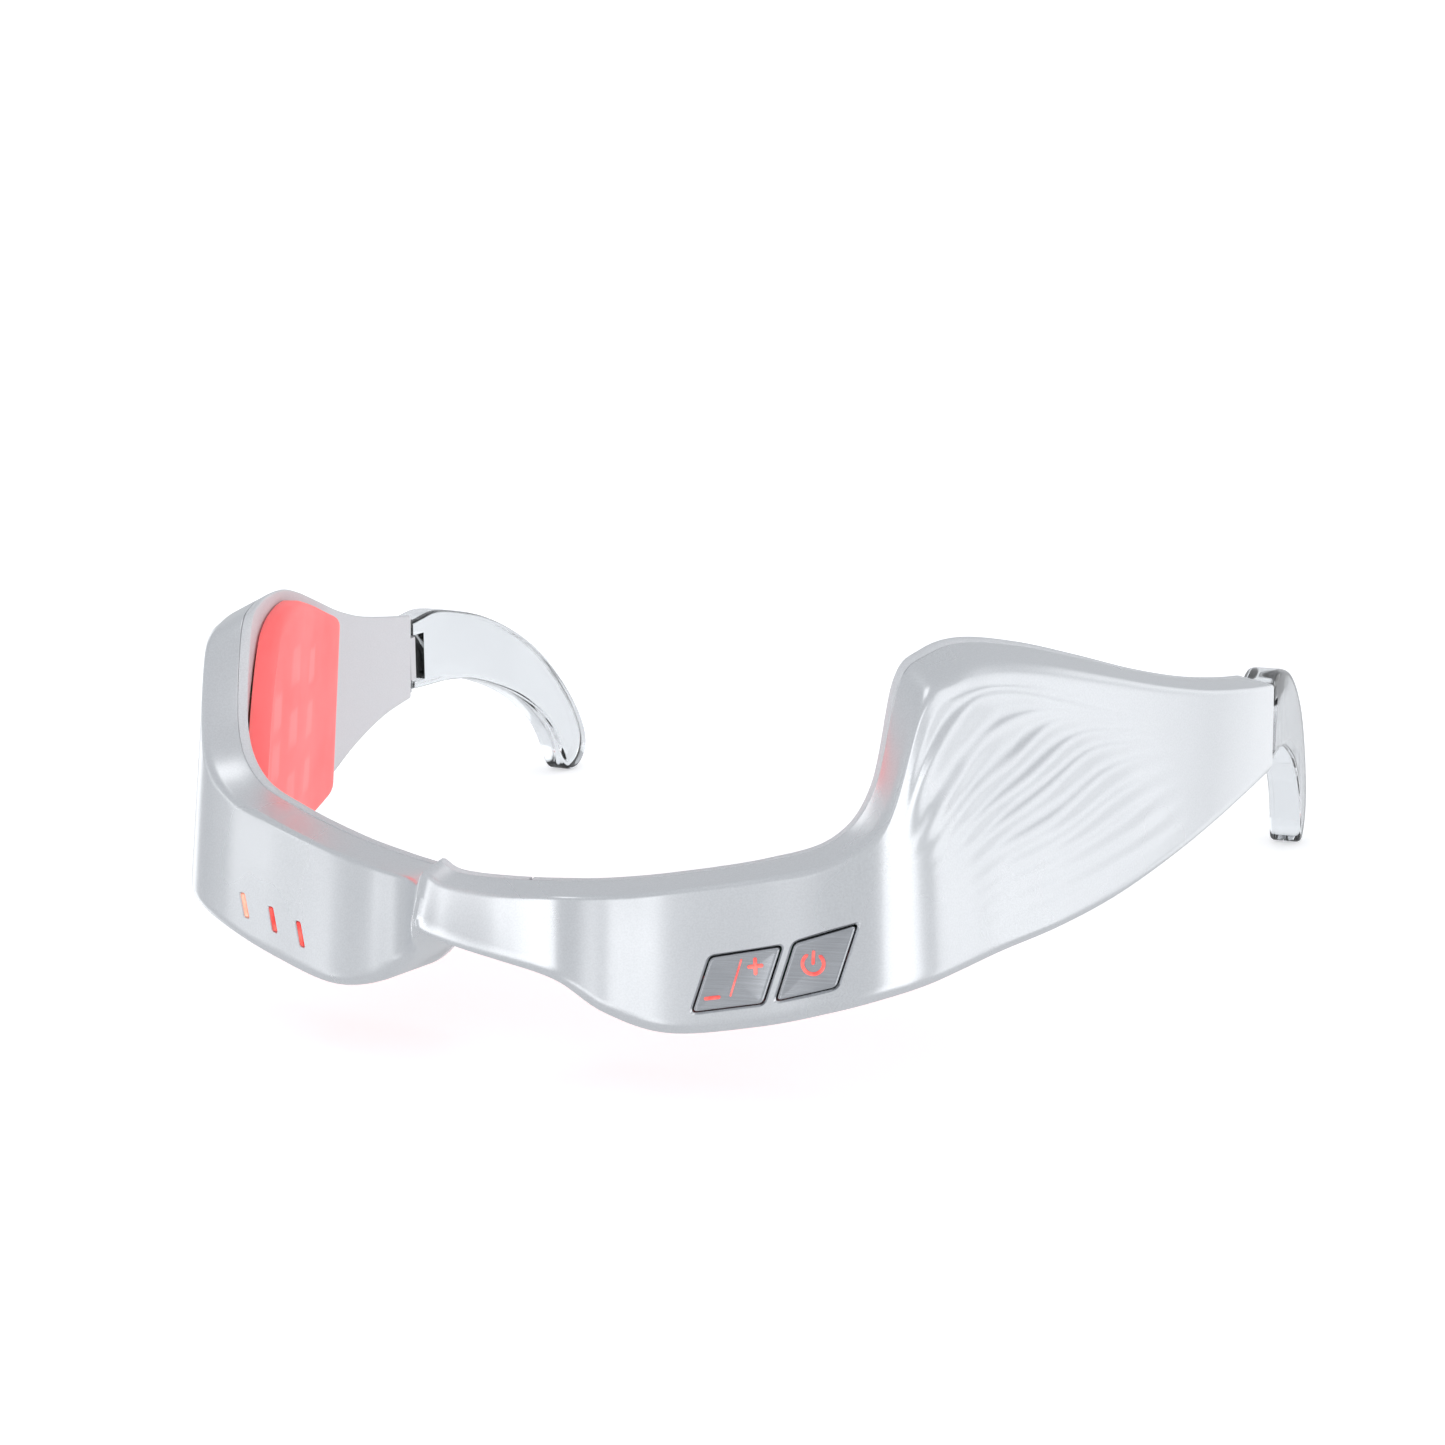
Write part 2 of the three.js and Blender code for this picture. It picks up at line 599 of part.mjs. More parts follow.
function makeSwitch({ at, z }) {
  const { x } = wall(at);
  const body = solid(standInPod(box(3, 0.9, 2.6), 1, x, SWITCH_DEPTH + 0.75, z));
  const button = new THREE.CylinderGeometry(0.65, 0.65, 0.6, 12);
  return join(body, solid(standInPod(button, 1, x, SWITCH_DEPTH + 0.25, z)));
}

// ---- Boards and other inner pieces ----
function flatBoard(side, x, depth, z, wide, tall, chips) {
  const plate = solid(standInPod(box(wide, 0.8, tall), side, x, depth, z));
  const parts = chips.map(([dx, dz, w, h]) => {
    const chip = box(w, 0.8, h).translate(dx, 0.7, dz);
    return solid(standInPod(chip, side, x, depth, z));
  });
  return join(plate, ...parts);
}

function makeBattery() {
  const cell = box(16, 2.1, 6.8);
  const tabs = box(2, 0.6, 3).translate(-8.6, 0, 0.8);
  return join(...[cell, tabs].map(part => solid(standInPod(part, -1, 26, 3.95, -17.9))));
}

function makeSocket() {
  const shell = solid(socketPlace(stadium(9, 3.2, 5.2).translate(0, 0, 0.1)));
  const mouth = solid(socketPlace(stadium(8.3, 2.5, 4.6).translate(0, 0, -0.2)));
  const tongue = solid(socketPlace(box(6.4, 0.7, 4.4).translate(0, 0, 3)));
  return join(cut(shell, mouth), tongue);
}

function makeMotor(side) {
  const spot = wall(side * MOTOR_AT);
  const coin = new THREE.CylinderGeometry(4.6, 4.6, 1.1, 32);
  return solid(standOnWall(coin, side * MOTOR_AT, spot.thick / 2 - 0.2, -12, spot.lean));
}

function makeFlex() {
  return sweep(-4.6, 4.2, spot => {
    const low = Math.max(-18, spot.bottom + 2.6);
    const high = low + 1.4;
    return [[1.7, low], [1.7, high], [1.95, high], [1.95, low]]
      .map(([depth, z]) => onWall(spot, depth, z));
  }, 2);
}

// ---- Hinges and ear hooks ----
function makeBracket(side) {
  const { pin } = hinge(side);
  const plate = solid(armBlock(side, -8, -2.2, -0.4, 1.6, -2.8, -12));
  const root = solid(armBlock(side, -3, 0.4, 0, KNUCKLE, TONGUE_TOP, TONGUE_BOTTOM));
  const tongue = solid(armBlock(side, 0.3, PIN_REACH, KNUCKLE, KNUCKLE, TONGUE_TOP, TONGUE_BOTTOM));
  const height = TONGUE_TOP - TONGUE_BOTTOM;
  const middle = (TONGUE_TOP + TONGUE_BOTTOM) / 2;
  const knuckle = solid(post(KNUCKLE, height).translate(pin.x, pin.y, middle));
  const bore = solid(post(PIN_BORE, 30).translate(pin.x, pin.y, 0));
  const holes = bracketScrews(side).map(({ hole }) => solid(hole));
  return cut(join(plate, root, tongue, knuckle), bore, ...holes);
}

function bracketScrews(side) {
  return [-4.4, -10.2].map(z => {
    const { end, heading } = hinge(side);
    const turned = geometry => geometry.rotateZ(-side * Math.PI / 2).translate(0, -5.2, z);
    const put = geometry => turned(geometry).rotateZ(heading).translate(end.x, end.y, 0);
    const hole = put(new THREE.CylinderGeometry(0.75, 0.75, 3.2, 12).translate(0, 1.8, 0));
    const head = new THREE.CylinderGeometry(1.15, 1.15, 0.5, 16).translate(0, 0.1, 0);
    const shank = new THREE.CylinderGeometry(0.6, 0.6, 2.9, 12).translate(0, 1.75, 0);
    return { hole, screw: join(solid(put(head)), solid(put(shank))) };
  });
}

function makePin(side) {
  const { pin } = hinge(side);
  return solid(post(PIN_RADIUS, 11.6).translate(pin.x, pin.y, (TONGUE_TOP + TONGUE_BOTTOM) / 2));
}

function hookSide() {
  const shape = new THREE.Shape();
  shape.moveTo(-HOOK_FRONT, -12.6);
  shape.lineTo(-HOOK_FRONT, -1.4);
  shape.lineTo(2, -1);
  shape.splineThru(HOOK_UPPER.map(p => new THREE.Vector2(...p)));
  shape.splineThru(HOOK_TIP.map(p => new THREE.Vector2(...p)));
  shape.splineThru(HOOK_LOWER.map(p => new THREE.Vector2(...p)));
  shape.lineTo(2, -12.8);
  shape.closePath();
  return shape;
}

// The hook is drawn with its pin at the origin, pointing straight back, then turned in.
function makeHook(side) {
  const bevel = 0.6;
  const extruded = new THREE.ExtrudeGeometry(hookSide(), {
    depth: HOOK_THICK - 2 * bevel, curveSegments: 4,
    bevelEnabled: true, bevelThickness: bevel, bevelSize: bevel, bevelOffset: -bevel, bevelSegments: 2,
  });
  extruded.translate(0, 0, bevel - PIN_INSET);
  extruded.applyMatrix4(new THREE.Matrix4().makeBasis(
    new THREE.Vector3(0, 1, 0), new THREE.Vector3(0, 0, 1), new THREE.Vector3(1, 0, 0)));
  const outer = HOOK_THICK - PIN_INSET;
  const nose = new THREE.Shape();
  nose.absarc(0, 0, PIN_INSET, Math.PI, 1.4 * Math.PI, false);
  nose.lineTo(0, -HOOK_FRONT);
  nose.lineTo(outer - 0.6, -HOOK_FRONT);
  nose.lineTo(outer, 0.6 - HOOK_FRONT);
  nose.lineTo(outer, 70);
  nose.lineTo(-PIN_INSET, 70);
  const plan = new THREE.ExtrudeGeometry(nose, { depth: 60, bevelEnabled: false, curveSegments: 8 });
  plan.translate(0, 0, -50);
  const slotTall = TONGUE_TOP - TONGUE_BOTTOM + 0.8;
  const slot = box(12, 10, slotTall).translate(0, 2.9 - 5, (TONGUE_TOP + TONGUE_BOTTOM) / 2);
  const bore = post(PIN_BORE, 12.2).translate(0, 0, (TONGUE_TOP + TONGUE_BOTTOM) / 2);
  const body = cut(solid(extruded).intersect(solid(plan)), solid(slot), solid(bore));
  const { pin } = hinge(side);
  const placed = geometryOf(side > 0 ? body : body.mirror([1, 0, 0])).rotateZ(side * rad(HOOK_TOE_IN));
  return placed.translate(pin.x, pin.y, 0);
}

function makeCoverScrew({ at, z }, side) {
  const spot = wall(side * at);
  const head = new THREE.CylinderGeometry(1.3, 1.3, 0.5, 16);
  const shank = new THREE.CylinderGeometry(0.65, 0.65, 2.8, 12);
  const deep = innerDepth(spot, z);
  return join(
    solid(standOnWall(shank, side * at, deep - 1.6, z)),
    solid(standOnWall(head, side * at, deep - 0.4, z)));
}

// ---- Assembly ----
const group = new THREE.Group();
group.name = 'eye_massager_mask';

function add(name, shape, material) {
  const geometry = shape.isBufferGeometry ? shape : geometryOf(shape);
  const mesh = new THREE.Mesh(geometry, material);
  mesh.name = name;
  group.add(mesh);
}

add('outer_shell', makeCasing(), pearl);
add('bridge_liner', makeBridgeLiner(), lightGrey);
add('power_button', makeKey(POWER_KEY, POWER_KEY_AT, POWER_PLUNGERS), satin);
add('level_key', makeKey(LEVEL_KEY, LEVEL_KEY_AT, LEVEL_PLUNGERS), satin);
add('switch_minus', makeSwitch(LEVEL_PLUNGERS[0]), black);
add('switch_plus', makeSwitch(LEVEL_PLUNGERS[1]), black);
add('switch_power', makeSwitch(POWER_PLUNGERS[0]), black);
const MAIN_CHIPS = [[-5, 0.4, 4, 4], [0.5, 1.2, 3, 2.4], [5.5, -1, 2, 2]];
add('main_board', flatBoard(1, 32.8, SWITCH_DEPTH + 1.8, -19.3, 15.4, 6.2, MAIN_CHIPS), board);
add('indicator_board', flatBoard(-1, 31.7, 2.2, -21.5, 12.4, 2.6, []), board);
WINDOWS.forEach((window, i) => {
  add(`indicator_window_${i + 1}`, slotPrism(window, WINDOW_WIDE, WINDOW_TALL, 0.05, 1.65), redGlow);
});
add('battery', makeBattery(), foil);
add('charging_socket', makeSocket(), steel);
add('flex_cable', makeFlex(), copper);
for (const [side, name] of [[1, 'left'], [-1, 'right']]) {
  add(`inner_cover_${name}`, makeCover(side), lightGrey);
  add(`light_pad_${name}`, makePad(side), lightPad);
  add(`light_board_${name}`, makeLightBoard(side), board);
  add(`vibration_motor_${name}`, makeMotor(side), steel);
  SCREWS.forEach((screw, i) => add(`cover_screw_${name}_${i + 1}`, makeCoverScrew(screw, side), darkSteel));
  add(`hinge_bracket_${name}`, makeBracket(side), lightGrey);
  bracketScrews(side).forEach(({ screw }, i) => add(`bracket_screw_${name}_${i + 1}`, screw, darkSteel));
  add(`hinge_pin_${name}`, makePin(side), steel);
  add(`ear_hook_${name}`, makeHook(side), clear);
}

// The origin is the middle of the footprint, on the plane that the lowest point touches.
const bounds = new THREE.Box3().setFromObject(group);
const middle = bounds.getCenter(new THREE.Vector3());
for (const mesh of group.children) mesh.geometry.translate(-middle.x, -middle.y, -bounds.min.z);

export default group;
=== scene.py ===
import json
import math

import bmesh
import bpy
import numpy as np
from mathutils import Matrix, Vector


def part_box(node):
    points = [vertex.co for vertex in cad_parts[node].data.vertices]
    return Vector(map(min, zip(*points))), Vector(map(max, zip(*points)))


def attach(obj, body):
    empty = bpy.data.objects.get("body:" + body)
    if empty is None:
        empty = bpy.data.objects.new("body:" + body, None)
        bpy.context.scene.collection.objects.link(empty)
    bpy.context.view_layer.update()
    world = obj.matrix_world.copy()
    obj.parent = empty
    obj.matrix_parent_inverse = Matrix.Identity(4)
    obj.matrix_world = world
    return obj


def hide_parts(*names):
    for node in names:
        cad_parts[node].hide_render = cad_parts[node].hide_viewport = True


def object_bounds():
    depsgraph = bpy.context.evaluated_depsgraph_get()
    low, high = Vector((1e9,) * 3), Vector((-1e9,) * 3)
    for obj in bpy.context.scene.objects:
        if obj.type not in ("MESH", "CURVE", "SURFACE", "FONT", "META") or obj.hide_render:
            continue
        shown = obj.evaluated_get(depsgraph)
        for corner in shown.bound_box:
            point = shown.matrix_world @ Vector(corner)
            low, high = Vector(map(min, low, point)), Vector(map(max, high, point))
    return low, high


# Eye massager mask: detailed pieces, materials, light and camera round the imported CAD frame.
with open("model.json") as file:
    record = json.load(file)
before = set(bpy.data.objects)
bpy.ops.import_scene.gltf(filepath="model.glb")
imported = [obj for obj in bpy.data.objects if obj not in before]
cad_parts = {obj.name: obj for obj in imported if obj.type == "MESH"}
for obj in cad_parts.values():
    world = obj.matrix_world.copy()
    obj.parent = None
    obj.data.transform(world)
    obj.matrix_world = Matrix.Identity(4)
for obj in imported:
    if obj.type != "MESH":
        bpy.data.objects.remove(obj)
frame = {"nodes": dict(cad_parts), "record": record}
CAD_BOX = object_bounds()

# ---- Dimensions of the part, in millimetres, as in its source ----
MM = 0.001
THICK = 5.6
SKIN = 1.4
COVER = 1.2
GAP = 0.3
SEAM = 0.04  # Between the casing and the covers, where it shows.
PAD = 3.0
PAD_MARGIN = 1.3
PAD_BOTTOM = 1.2
PAD_CLIMB = 3.6
PAD_RETREAT = 0.75  # The pad's top edge follows the wall this many rows nearer the nose.
PAD_NOSE = 0.75  # Rows over which the pad rounds off at its two ends.
PAD_TAIL = 0.4
LAND_BEVEL = 0.16
COVER_ROUND = 0.6
FILLET = 2.2
LEAN_LEVEL = -9
HOOK_THICK = 5
PIN_REACH = 1.9
PIN_INSET = 1.5
PIN_BORE = 0.8
HOOK_FRONT = 1.3
HOOK_TOE_IN = 3
HOOK_EDGE = 0.85
TONGUE_TOP = -4
TONGUE_BOTTOM = -11
KEY_PROUD = 0.15
KEY_DISH = 0.14
KEY_DEPTH = 1.2
KEY_CORNER = 0.55
KEY_BEVEL = 0.28
BRIDGE_END = 2.3
PAD_FROM = 3.05
PAD_TO = 13.4
LIGHT_FROM = 4.5
LIGHT_TO = 12.4
SOCKET_X = -24.5

# Half of the front from the nose to the end of the arm:
# x, y, turn, top, bottom, thick, deep, lean, fall of the top face.
HALF_FRONT = [
    (0, -1.6, 0, -7.6, -14.5, 4.4, 4.8, 0.5, 0.5),
    (1.7, 0.5, 2, -9.2, -16.2, 4.8, 5.4, 0.35, 0.6),
    (5.3, 6.2, 6, -11.3, -19.9, 6, 7.6, 0.15, 0.7),
    (9.4, 11.2, 10, -12.4, -23.2, 6, 9.6, 0.1, 0.7),
    (14.6, 13.1, 13, -12.2, -26.8, 5.8, 10.2, 0.1, 0.8),
    (22, 14.3, 14, -11, -28.5, 5.6, 10, 0.1, 0.9),
    (32, 16.8, 15, -9, -27.2, 5.6, 9, 0.1, 1.1),
    (40, 18.6, 22, -6.2, -25.1, 5.6, 7.6, 0.1, 1.6),
    (45.4, 20.8, 38, -0.4, -23.5, 5.6, 6.6, 0.1, 2.5),
    (48.9, 24.7, 54, 11.2, -22.7, 5.6, 6, 0.1, 2.3),
    (51.2, 30.5, 65, 14, -22.4, 5.6, 5.7, 0.09, 2.9),
    (53.6, 38.5, 69, 14.4, -22.2, 5.6, 5.6, 0.09, 3.2),
    (57.6, 48.5, 70, 12.6, -21.7, 5.6, 5.6, 0.09, 3.1),
    (61.5, 60, 71, 9.5, -20.8, 5.6, 5.6, 0.08, 2.6),
    (65.3, 72, 73, 6.1, -19, 5.6, 5.6, 0.07, 2),
    (68.7, 84, 75, 3.3, -16.8, 5.6, 5.6, 0.06, 1.5),
    (71.2, 95.5, 79, 1.4, -15, 5.6, 5.6, 0.04, 1.1),
    (72.6, 106, 83, 0, -14, 5.6, 5.6, 0.03, 0.9),
]
END = len(HALF_FRONT) - 1

LEVEL_KEY = [(25.3, -25.3), (32.9, -23.9), (34.6, -17.5), (27, -19.1)]
POWER_KEY = [(34.4, -23.5), (40.8, -21.6), (42.6, -14.7), (36.1, -17)]
WINDOWS = [(-36.6, -21.1), (-31.7, -22), (-26.9, -22.9)]
WINDOW_TALL = 2.7
WINDOW_WIDE = 0.6
WINDOW_SLANT = 0.8

HOOK_UPPER = [(7, -0.5), (14, -1.6), (22, -3.6), (31, -7.2), (39.5, -12), (47.2, -18.3),
              (53.1, -24.8), (56.2, -30)]
HOOK_TIP = [(56.5, -33.6), (54.4, -36.2), (51, -36.9), (48.9, -35.4)]
HOOK_LOWER = [(46.3, -30.6), (43.1, -26.5), (38.3, -22.8), (32, -19.1), (24.5, -16), (17, -13.8),
              (10, -12.9)]

# The scalloped flutes of each wing as seen from the side, y and z: each line starts low at the
# front, arches over and runs back to where they all draw together.
FLUTES = [
    [(22, -2.5), (24, 4.3), (28.5, 9.8), (38, 10.6), (52, 6.6), (68, 0.8)],
    [(22, -5), (25.2, 2), (32, 7.2), (40, 7.9), (53, 4.6), (68, 0.2)],
    [(22.3, -7.2), (28, -1.8), (36, 3.2), (44.5, 5.1), (55, 3.4), (68.5, -0.4)],
    [(23.2, -8.4), (31, -3.4), (40, -0.1), (48, 3.4), (57, 2.4), (70, -1.1)],
    [(24.2, -9.6), (33, -5.8), (43, -2.4), (51.5, 0.8), (59, 0.7), (71, -1.9)],
    [(25.4, -10.9), (35, -7.9), (46, -4.4), (55, -1.4), (63, -1.6), (73, -2.9)],
    [(26.8, -12.4), (38, -9.8), (48, -7.8), (58, -4.6), (65.4, -3.9), (74, -4.8)],
    [(28, -14), (39, -12), (50, -10.4), (60, -7.9), (67, -6.8), (75, -6.6)],
    [(29, -15.4), (40, -13.7), (52, -12.5), (62, -10.9), (69, -9.4), (76, -8.9)],
    [(30, -16.8), (41, -15.9), (53, -15), (63, -13.8), (70, -12.7), (77, -11.3)],
    [(31, -18.4), (42, -18.1), (54, -17.3), (64, -16.2), (71, -15.4), (78, -14)],
]
FLUTE_DEPTH = 0.5
FLUTE_SLOPE = 0.13  # Depth over the distance to the next line, where that is less.
FLUTE_CREST = 0.64  # Part of the way to the next line at which a flute is deepest.
FLUTE_PROBE = 0.4
FLUTE_STEPS = 24


# ---- The wall of the front ----
def clamp(value, low, high):
    return max(low, min(high, value))


def smooth(a, b, c, d, t):
    """Catmull-Rom blend between b and c."""
    return b + 0.5 * t * ((c - a) + t * ((2 * a - 5 * b + 4 * c - d) + t * (3 * b - a - 3 * c + d)))


def full_rows():
    mirrored = [(-x, y, -turn, *rest) for x, y, turn, *rest in HALF_FRONT[:0:-1]]
    return np.array(mirrored + HALF_FRONT, float)


ROWS = full_rows()


class Wall:
    """The wall at a position from -END, the end of the right arm, to END, that of the left."""

    def __init__(self, at):
        i = int(clamp(math.floor(at + END), 0, 2 * END - 1))
        a, b, c, d = (ROWS[int(clamp(k, 0, 2 * END))] for k in (i - 1, i, i + 1, i + 2))
        values = smooth(a, b, c, d, at + END - i)
        self.x, self.y, self.turn, self.top, self.bottom = values[:5]
        self.thick, self.deep, self.lean, self.fall = values[5:]
        self.in_x = -math.sin(math.radians(self.turn))
        self.in_y = math.cos(math.radians(self.turn))

    def point(self, depth, z):
        inward = depth - self.lean * (LEAN_LEVEL - z)
        return (self.x + self.in_x * inward, self.y + self.in_y * inward, z)

    def inner(self, z):
        down = clamp((self.top - z) / (self.top - self.bottom), 0, 1)
        return self.thick + (self.deep - self.thick) * down

    def top_at(self, depth):
        return self.top - self.fall * (1 - depth / self.thick)


def pad_top(at):
    wall, ahead, behind = Wall(at), Wall(at + 0.15), Wall(at - 0.15)
    climb = abs(ahead.top - behind.top) / math.hypot(ahead.x - behind.x, ahead.y - behind.y)
    nearer = Wall(at - math.copysign(PAD_RETREAT, at))
    return min(wall.top, nearer.top) - PAD_MARGIN - PAD_CLIMB * climb


def at_of_x(x, z=LEAN_LEVEL):
    """Wall position whose outer face has this x at height z."""
    low, high = -END, END
    for _ in range(36):
        middle = (low + high) / 2
        if Wall(middle).point(0, z)[0] < x:
            low = middle
        else:
            high = middle
    return low


def positions(start, end, spacing):
    """Wall positions about spacing millimetres apart, both ends included."""
    fine = np.linspace(start, end, 1200)
    walls = [Wall(at) for at in fine]
    path = np.array([(w.x, w.y, 0.6 * w.top) for w in walls])
    along = np.concatenate([[0], np.cumsum(np.linalg.norm(np.diff(path, axis=0), axis=1))])
    count = max(2, int(along[-1] / spacing))
    return np.interp(np.linspace(0, along[-1], count + 1), along, fine)


def arc(depth, z, radius, start, end, steps):
    angles = np.radians(np.linspace(start, end, steps + 1))
    return [(depth + radius * math.cos(a), z + radius * math.sin(a)) for a in angles]


def line(a, b, steps):
    """Points from a to b, without b."""
    return [(a[0] + (b[0] - a[0]) * i / steps, a[1] + (b[1] - a[1]) * i / steps) for i in range(steps)]


def hinge(side):
    wall = Wall(side * END)
    back = Vector((side * wall.in_y, -side * wall.in_x, 0))
    inset = THICK - PIN_INSET
    end = Vector((wall.x + wall.in_x * inset, wall.y + wall.in_y * inset, 0))
    return end, end + PIN_REACH * back, math.atan2(back.y, back.x) - math.pi / 2


def frame_shift():
    """From the drawing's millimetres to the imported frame's, read off the left hinge pin."""
    low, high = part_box("hinge_pin_left")
    drawn = hinge(1)[1] + Vector((0, 0, (TONGUE_TOP + TONGUE_BOTTOM) / 2))
    return drawn - (low + high) / 2 / MM


SHIFT = frame_shift()


# ---- Mesh helpers ----
def place(point):
    return (Vector(point) - SHIFT) * MM


def new_object(name, points, faces):
    mesh = bpy.data.meshes.new(name)
    mesh.from_pydata([place(p) for p in points], [], faces)
    mesh.update()
    piece = bpy.data.objects.new(name, mesh)
    bpy.context.scene.collection.objects.link(piece)
    return piece


def loft(name, rings):
    """A closed body through rings of equal length, capped at both ends."""
    count = len(rings[0])
    points = [p for ring in rings for p in ring]
    faces = []
    for r in range(len(rings) - 1):
        for i in range(count):
            a, b = r * count + i, r * count + (i + 1) % count
            faces.append((a, b, b + count, a + count))
    last = (len(rings) - 1) * count
    faces.append(tuple(range(count))[::-1])
    faces.append(tuple(range(last, last + count)))
    piece = new_object(name, points, faces)
    clean(piece)
    return piece


def clean(piece, merge=1e-7):
    mesh = bmesh.new()
    mesh.from_mesh(piece.data)
    bmesh.ops.remove_doubles(mesh, verts=mesh.verts, dist=merge)
    ngons = [f for f in mesh.faces if len(f.verts) > 4]
    bmesh.ops.triangulate(mesh, faces=ngons, ngon_method="EAR_CLIP")
    bmesh.ops.recalc_face_normals(mesh, faces=mesh.faces)
    mesh.to_mesh(piece.data)
    mesh.free()


def combine(piece, other, operation):
    """Boolean of piece with other, applied, and other thrown away."""
    modifier = piece.modifiers.new("combine", "BOOLEAN")
    modifier.operation = operation
    modifier.solver = "MANIFOLD"
    modifier.object = other
    bpy.context.view_layer.update()
    graph = bpy.context.evaluated_depsgraph_get()
    result = bpy.data.meshes.new_from_object(piece.evaluated_get(graph))
    piece.modifiers.clear()
    if len(result.polygons) == 0:
        raise RuntimeError(f"{piece.name} is empty after {operation} with {other.name}")
    piece.data = result
    bpy.data.objects.remove(other)


def cut(piece, *tools):
    for tool in tools:
        combine(piece, tool, "DIFFERENCE")


def shade(piece, degrees=32):
    mesh = piece.data
    mesh.polygons.foreach_set("use_smooth", [True] * len(mesh.polygons))
    mesh.set_sharp_from_angle(angle=math.radians(degrees))
    mesh.update()


def box_points(low, high):
    return [(x, y, z) for x in (low[0], high[0]) for y in (low[1], high[1]) for z in (low[2], high[2])]


BOX_FACES = [(0, 1, 3, 2), (4, 6, 7, 5), (0, 4, 5, 1), (2, 3, 7, 6), (0, 2, 6, 4), (1, 5, 7, 3)]


def arm_block(name, side, start, stop, inward, outward, top, bottom):
    """A block in the arm's own frame, measured from its end face and the pin's line."""
    end, _, heading = hinge(side)
    xs = sorted((-side * inward, side * outward))
    turn = Matrix.Rotation(heading, 4, "Z")
    points = [turn @ Vector(p) + end for p in box_points((xs[0], start, bottom), (xs[1], stop, top))]
    piece = new_object(name, points, BOX_FACES)
    clean(piece)
    return piece


# ---- Flutes ----
def flute_curve(points):
    """Places along one flute line as (y, z, t), close together, t running from 0 to 5."""
    points = [Vector(p) for p in points]
    curve = []
    for i in range(FLUTE_STEPS * (len(points) - 1) + 1):
        t = i / FLUTE_STEPS
        j = min(int(t), len(points) - 2)
        a, b, c, d = (points[int(clamp(k, 0, len(points) - 1))] for k in (j - 1, j, j + 1, j + 2))
        curve.append((*smooth(a, b, c, d, t - j), t))
    return np.array(curve).T


FLUTE_CURVES = [flute_curve(points) for points in FLUTES]


def ease(value, low, high):
    t = clamp((value - low) / (high - low), 0, 1)
    return t * t * (3 - 2 * t)


def flute_heights(y):
    """Height, steepness and strength of each flute line where it passes this y."""
    found = []
    for ys, zs, ts in FLUTE_CURVES:
        z, ahead, behind = np.interp([y, y + FLUTE_PROBE, y - FLUTE_PROBE], ys, zs).tolist()
        t = float(np.interp(y, ys, ts))
        strength = ease(t, 0, 1.5) * (1 - ease(t, 3.2, 5))
        found.append((z, abs(ahead - behind) / (2 * FLUTE_PROBE), strength))
    return found


def flute_depth(heights, z):
    """How far the outer face is cut back: each flute falls from a rounded ridge to a crease."""
    for row, (high, low) in enumerate(zip(heights, heights[1:])):
        gap = high[0] - low[0]
        if gap < 0.05 or not low[0] <= z <= high[0]:
            continue
        part = (high[0] - z) / gap
        wave = ease(part, 0, FLUTE_CREST) * (1 - ease(part, FLUTE_CREST, 1))
        across = gap / math.hypot(1, high[1] + (low[1] - high[1]) * part)
        strength = high[2] + (low[2] - high[2]) * part
        rows = 1 - 0.45 * ease(row, 4, 9)
        return min(FLUTE_DEPTH, FLUTE_SLOPE * across) * wave * strength * rows
    return 0


# ---- Casing ----
def bend(start, tip, stop, steps):
    """A quadratic curve from start to stop that rounds the corner at tip."""
    start, tip, stop = Vector(start), Vector(tip), Vector(stop)
    spread = [i / steps for i in range(steps + 1)]
    return [start * (1 - s) ** 2 + tip * 2 * s * (1 - s) + stop * s ** 2 for s in spread]


def casing_section(wall):
    rim = COVER + SEAM
    fillet = min(FILLET, (wall.deep - rim) * 0.8)
    reach = 0.25 + 0.4 * wall.fall
    low, high = wall.bottom + fillet, wall.top_at(0) - reach
    section = arc(fillet, low, fillet, 270, 180, 10)
    heights = flute_heights(wall.y)
    for _, z in line((0, low), (0, high), 110)[1:]:
        edge = ease(z, low, low + 1) * (1 - ease(z, high - 1, high))
        section.append((edge * flute_depth(heights, z), z))
    section += bend((0, high), (0, wall.top_at(0)), (reach, wall.top_at(reach)), 12)
    land = wall.thick - rim
    section.append(((reach + land) / 2, wall.top_at((reach + land) / 2)))
    inner_edge = (land, wall.top_at(land))
    section += bend((land - LAND_BEVEL, wall.top_at(land - LAND_BEVEL)), inner_edge,
                    (land, inner_edge[1] - LAND_BEVEL), 3)
    section += [(wall.deep - rim, wall.bottom + 0.12), (wall.deep - rim - 0.12, wall.bottom)]
    return section


def channel_section(wall):
    bevel = min(1.1, 0.3 * wall.thick)
    low = wall.bottom + SKIN

    def ceiling(depth):
        return wall.top_at(depth) - 1.15 * SKIN

    return [(SKIN + bevel, low), (SKIN, low + 1), (SKIN, ceiling(SKIN) - 0.4),
            (SKIN + bevel, ceiling(SKIN + bevel)), (wall.thick + 3, ceiling(wall.thick + 3)),
            (wall.deep + 3, low)]


def rounded(outline, grow, corner=0.5, steps=6):
    """The outline grown outwards, with its corners rounded."""
    corner = corner + grow
    ring = []
    for i, here in enumerate(outline):
        here = Vector(here)
        back = (Vector(outline[i - 1]) - here).normalized()
        ahead = (Vector(outline[(i + 1) % len(outline)]) - here).normalized()
        sine = abs(back.cross(ahead))
        tip = here - (back + ahead) * grow / sine
        start, stop = tip + back * corner, tip + ahead * corner
        ring += bend(start, tip, stop, steps)
    return ring


def on_face(outline, depth):
    """The outline's points, x and z, laid on the outer face at a depth."""
    ring = []
    for x, z in outline:
        ring.append(Wall(at_of_x(x, z)).point(depth, z))
    return ring


